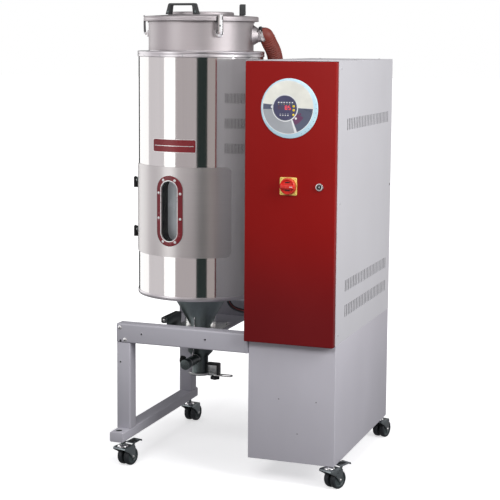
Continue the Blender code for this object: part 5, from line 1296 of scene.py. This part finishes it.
def build_hoses():
    """Return hose with clamps and elbow, and the supply line."""
    start, out = hopper_point(SPIGOT_AZ, 0.246, SPIGOT_Z), hopper_axes(SPIGOT_AZ)[0]
    points = [start, start + out * 0.014, (-0.4195, 0.433, 1.672), (-0.412, 0.468, 1.633),
              (-0.413, 0.501, 1.583), (-0.415, 0.53, 1.51), (-0.415, 0.544, 1.45),
              (-0.415, 0.545, 1.405), (-0.415, 0.545, 1.37)]
    path = smooth_path(points, 420)
    # wire-reinforced silicone: ribs along the middle, plain cuffs at both ends
    length, marks = 0.0, [0.0]
    for a, b in zip(path, path[1:]):
        length += (b - a).length
        marks.append(length)
    radii = []
    for d in marks:
        cuff = d < 0.026 or d > length - 0.028
        wave = (0.5 + 0.5 * math.cos(2 * math.pi * d / RIB_PITCH)) ** 1.5
        radii.append(0.0296 if cuff else 0.027 + 0.0043 * wave)
    hose = Piece("ribbed_hose", "stand", ("return_hose",), "hose_red")
    hose.tube(path, radii, HOSE_RED, 40, 0.0012)
    hose.make()

    clamps = Piece("hose_clamps", "stand", (), "chrome")

    def clamp(index, screw_dir):
        p = path[index]
        t = tangent(path, index)
        clamps.lathe([(0.0306, -0.006), (0.0312, -0.0064), (0.0312, 0.0064), (0.0306, 0.006)], p,
                     BRIGHT_STEEL, turn_towards(t), 56)
        side = (Vector(screw_dir) - t * Vector(screw_dir).dot(t)).normalized()
        cross = t.cross(side).normalized()
        centre = p + side * 0.0345
        verts = [centre + side * a + cross * b + t * c for a in (-0.0042, 0.0042)
                 for b in (-0.01, 0.01) for c in (-0.0062, 0.0062)]
        clamps.add(verts, BOX_FACES, BLACK_PLASTIC, 0.0012)
        clamps.rod(centre + cross * 0.01, centre + cross * 0.0145, 0.0032, BRIGHT_STEEL, 8)

    clamp(20, (0.5, -0.6, 0.9))
    clamp(len(path) - 24, (0.0, -1.0, 0.0))
    clamps.make()

    bend_r, bend_steps = 0.045, 12
    elbow = [Vector((-0.415, 0.545, 1.4)), Vector((-0.415, 0.545, 1.35))]
    for k in range(1, bend_steps + 1):
        a = math.radians(90 * k / bend_steps)
        elbow.append(Vector((-0.415 + bend_r * (1 - math.cos(a)), 0.545,
                             1.35 - bend_r * math.sin(a))))
    elbow.append(Vector((-0.3575, 0.545, 1.305)))
    bend = Piece("elbow_pipe", "stand", ("return_elbow",), "satin_steel")
    bend.tube(elbow, 0.027, COLLAR_STEEL, 48, 0.002)
    bend.lathe([(0.033, -0.0004), (0.034, 0.0), (0.034, 0.0032), (0.033, 0.0036), (0.0268, 0.0036),
                (0.0268, -0.0004)], (-0.3612, 0.545, 1.305), RING_STEEL, "x", 48)
    bend.make()

    line = [(-0.52, 0.245, 0.755), (-0.52, 0.245, 0.675), (-0.518, 0.26, 0.635),
            (-0.5, 0.28, 0.61), (-0.46, 0.305, 0.596), (-0.41, 0.326, 0.5905),
            (-0.385, 0.33, 0.59), (-0.3573, 0.33, 0.59)]
    route = smooth_path(line, 96)
    supply = Piece("supply_hose", "stand", ("supply_line",), "hose_red")
    supply.tube(route, 0.0082, BLACK_RUBBER, 24, 0.0016)
    # coloured tracer line moulded along the outside
    tracer = []
    for i, p in enumerate(route):
        t = tangent(route, i)
        lift = Vector((0.45, -0.85, 0.3))
        lift = (lift - t * lift.dot(t)).normalized()
        tracer.append(p + lift * 0.0064)
    supply.tube(tracer, 0.0022, LINE_RED, 10)
    supply.make()


# ------------------------------------------------------------- CAD materials
def dress_cad():
    """Nodes whose CAD shape is already right only get a finish."""
    looks = {"hopper_carrier": FRAME_PAINT, "component_plate": ZINC,
             "desiccant_canister_1": SATIN_STEEL,
             "desiccant_canister_2": SATIN_STEEL, "process_blower": CAST_ALUMINIUM,
             "door_neck": SATIN_STEEL, "air_diffuser": SATIN_STEEL, "hinge_block_upper": SEAL_BLACK,
             "hinge_block_lower": SEAL_BLACK}
    for name, mat in looks.items():
        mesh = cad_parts[name].data
        mesh.materials.clear()
        mesh.materials.append(mat)


# ---------------------------------------------------------------- the studio
SENSOR, IMAGE_WIDTH = 36.0, 500.0            # millimetres and pixels


def camera():
    """Camera of the fitted view; its focal length is in pixels of the photograph."""
    where = Vector((1.3962, -4.7808, 1.6741)) + SHIFT
    yaw, pitch, roll, focal = (math.radians(19.9562), math.radians(6.5984), math.radians(0.404),
                               1367.57)
    forward = Vector((-math.sin(yaw) * math.cos(pitch), math.cos(yaw) * math.cos(pitch),
                      -math.sin(pitch)))
    right = Vector((math.cos(yaw), math.sin(yaw), 0.0))
    up = right.cross(forward)
    c, s = math.cos(roll), math.sin(roll)
    right, up = right * c + up * s, up * c - right * s
    data = bpy.data.cameras.new("camera")
    data.sensor_width = SENSOR
    data.lens = focal / IMAGE_WIDTH * SENSOR
    data.shift_y = -0.1
    data.clip_end = 200.0
    obj = bpy.data.objects.new("camera", data)
    turn = Matrix((right, up, -forward)).transposed().to_4x4()
    obj.matrix_world = Matrix.Translation(where) @ turn
    bpy.context.scene.collection.objects.link(obj)
    bpy.context.scene.camera = obj


# reflection cards round the polished hopper: from and to azimuth, glow, tint
CARDS = ((-128, -86, 1.3, (1.0, 1.0, 1.0)), (-86, -46, 0.74, (1.0, 0.96, 0.99)),
         (-46, -24, 1.6, (1.0, 1.0, 1.0)), (-24, 14.5, 0.5, (1.0, 0.92, 0.94)),
         (14.5, 33.0, 0.035, (0.7, 1.0, 0.95)), (33.0, 50, 0.42, (1.0, 0.9, 0.88)),
         (50, 78, 0.95, (1.0, 0.98, 0.98)), (-160, -128, 0.03, (0.8, 1.0, 1.0)),
         (82, 108, 0.45, (1.0, 0.97, 0.98)), (108, 120, 0.05, (0.7, 1.0, 0.95)),
         (120, 146, 0.85, (1.0, 0.99, 0.99)), (146, 176, 0.4, (1.0, 0.93, 0.94)),
         (176, 200, 0.22, (1.0, 0.98, 0.98)))
CARD_DISTANCE, CARD_TOP = 3.0, 3.4


def card(name, azimuth, distance, width, z_low, z_high, strength, color=(1, 1, 1)):
    """Upright studio card facing the hopper, seen in reflections only."""
    out, side = hopper_axes(azimuth)
    centre = HOPPER + SHIFT + out * distance
    corners = [centre + side * (s * width / 2) + Vector((0, 0, z))
               for s, z in ((-1, z_low), (1, z_low), (1, z_high), (-1, z_high))]
    mesh = bpy.data.meshes.new(name)
    mesh.from_pydata(corners, [], [(0, 1, 2, 3)])
    mat = bpy.data.materials.new(name)
    mat.use_nodes = True
    tree = mat.node_tree
    tree.nodes.clear()
    light = tree.nodes.new("ShaderNodeEmission")
    light.inputs["Color"].default_value = (*color, 1.0)
    light.inputs["Strength"].default_value = strength
    out_node = tree.nodes.new("ShaderNodeOutputMaterial")
    tree.links.new(light.outputs[0], out_node.inputs["Surface"])
    mesh.materials.append(mat)
    obj = bpy.data.objects.new(name, mesh)
    obj.visible_camera = False
    obj.visible_diffuse = False
    obj.visible_shadow = False
    bpy.context.scene.collection.objects.link(obj)


def soft_light(name, location, target, size, power, color=(1, 1, 1)):
    data = bpy.data.lights.new(name, "AREA")
    data.shape = "RECTANGLE"
    data.size, data.size_y = size
    data.energy = power
    data.color = color
    obj = bpy.data.objects.new(name, data)
    obj.location = location
    obj.rotation_euler = (Vector(target) - Vector(location)).to_track_quat("-Z", "Y").to_euler()
    obj.visible_camera = False
    bpy.context.scene.collection.objects.link(obj)


def studio():
    """World, floor, reflection cards and three soft lights."""
    scene = bpy.context.scene
    scene.view_settings.view_transform = "Standard"
    world = bpy.data.worlds.new("studio")
    world.use_nodes = True
    tree = world.node_tree
    tree.nodes.clear()
    grey = tree.nodes.new("ShaderNodeBackground")
    grey.inputs["Color"].default_value = (0.93, 0.92, 0.95, 1.0)
    grey.inputs["Strength"].default_value = 0.26
    white = tree.nodes.new("ShaderNodeBackground")
    white.inputs["Color"].default_value = (1.0, 1.0, 1.0, 1.0)
    white.inputs["Strength"].default_value = 1.0
    path = tree.nodes.new("ShaderNodeLightPath")
    mix = tree.nodes.new("ShaderNodeMixShader")
    out = tree.nodes.new("ShaderNodeOutputWorld")
    tree.links.new(path.outputs["Is Camera Ray"], mix.inputs[0])
    tree.links.new(grey.outputs[0], mix.inputs[1])
    tree.links.new(white.outputs[0], mix.inputs[2])
    tree.links.new(mix.outputs[0], out.inputs["Surface"])
    scene.world = world

    mesh = bpy.data.meshes.new("floor")
    mesh.from_pydata([(60 * math.cos(math.pi * k / 24), 60 * math.sin(math.pi * k / 24), 0.0)
                      for k in range(48)], [], [tuple(range(48))])
    floor = bpy.data.objects.new("floor", mesh)
    mat, tree, shader, coords = new_material("floor_pale", 0.0, 0.85)
    cloud = stretched_noise(tree, coords, (0.6,) * 3)
    tree.links.new(ramp(tree, cloud, (0.86, 0.86, 0.87), (0.9, 0.9, 0.91)),
                   shader.inputs["Base Color"])
    shader.inputs["Emission Color"].default_value = (1.0, 1.0, 1.0, 1.0)
    reach = tree.nodes.new("ShaderNodeVectorMath")
    reach.operation = "LENGTH"
    tree.links.new(coords.outputs["Object"], reach.inputs[0])
    glow = map_range(tree, reach.outputs["Value"], 0.35, 2.2, 0.52, 1.0)
    tree.links.new(glow.outputs["Result"], shader.inputs["Emission Strength"])
    mesh.materials.append(mat)
    scene.collection.objects.link(floor)
    floor.visible_diffuse = False
    floor.visible_glossy = False

    for k, (start, stop, glow, tint) in enumerate(CARDS):
        width = 2 * CARD_DISTANCE * math.tan(math.radians(stop - start) / 2)
        card(f"card_{k}", 0.5 * (start + stop), CARD_DISTANCE, width, 0.0, CARD_TOP, glow, tint)

    soft_light("key_right", (3.6, -1.2, 2.6), (0.35, 0.0, 1.0), (2.2, 2.6), 110)
    soft_light("top", (0.3, -0.6, 4.2), (0.0, 0.0, 0.8), (3.0, 3.0), 32)
    soft_light("front_high", (0.1, -3.6, 3.0), (0.2, 0.0, 1.3), (2.4, 1.4), 62)


build_stand()
for caster_name in CASTERS:
    build_caster(caster_name)
build_cabinet()
build_inside()
build_door()
build_vessel()
build_cleaning_door()
build_lid()
build_discharge()
build_hoses()
dress_cad()
studio()
camera()
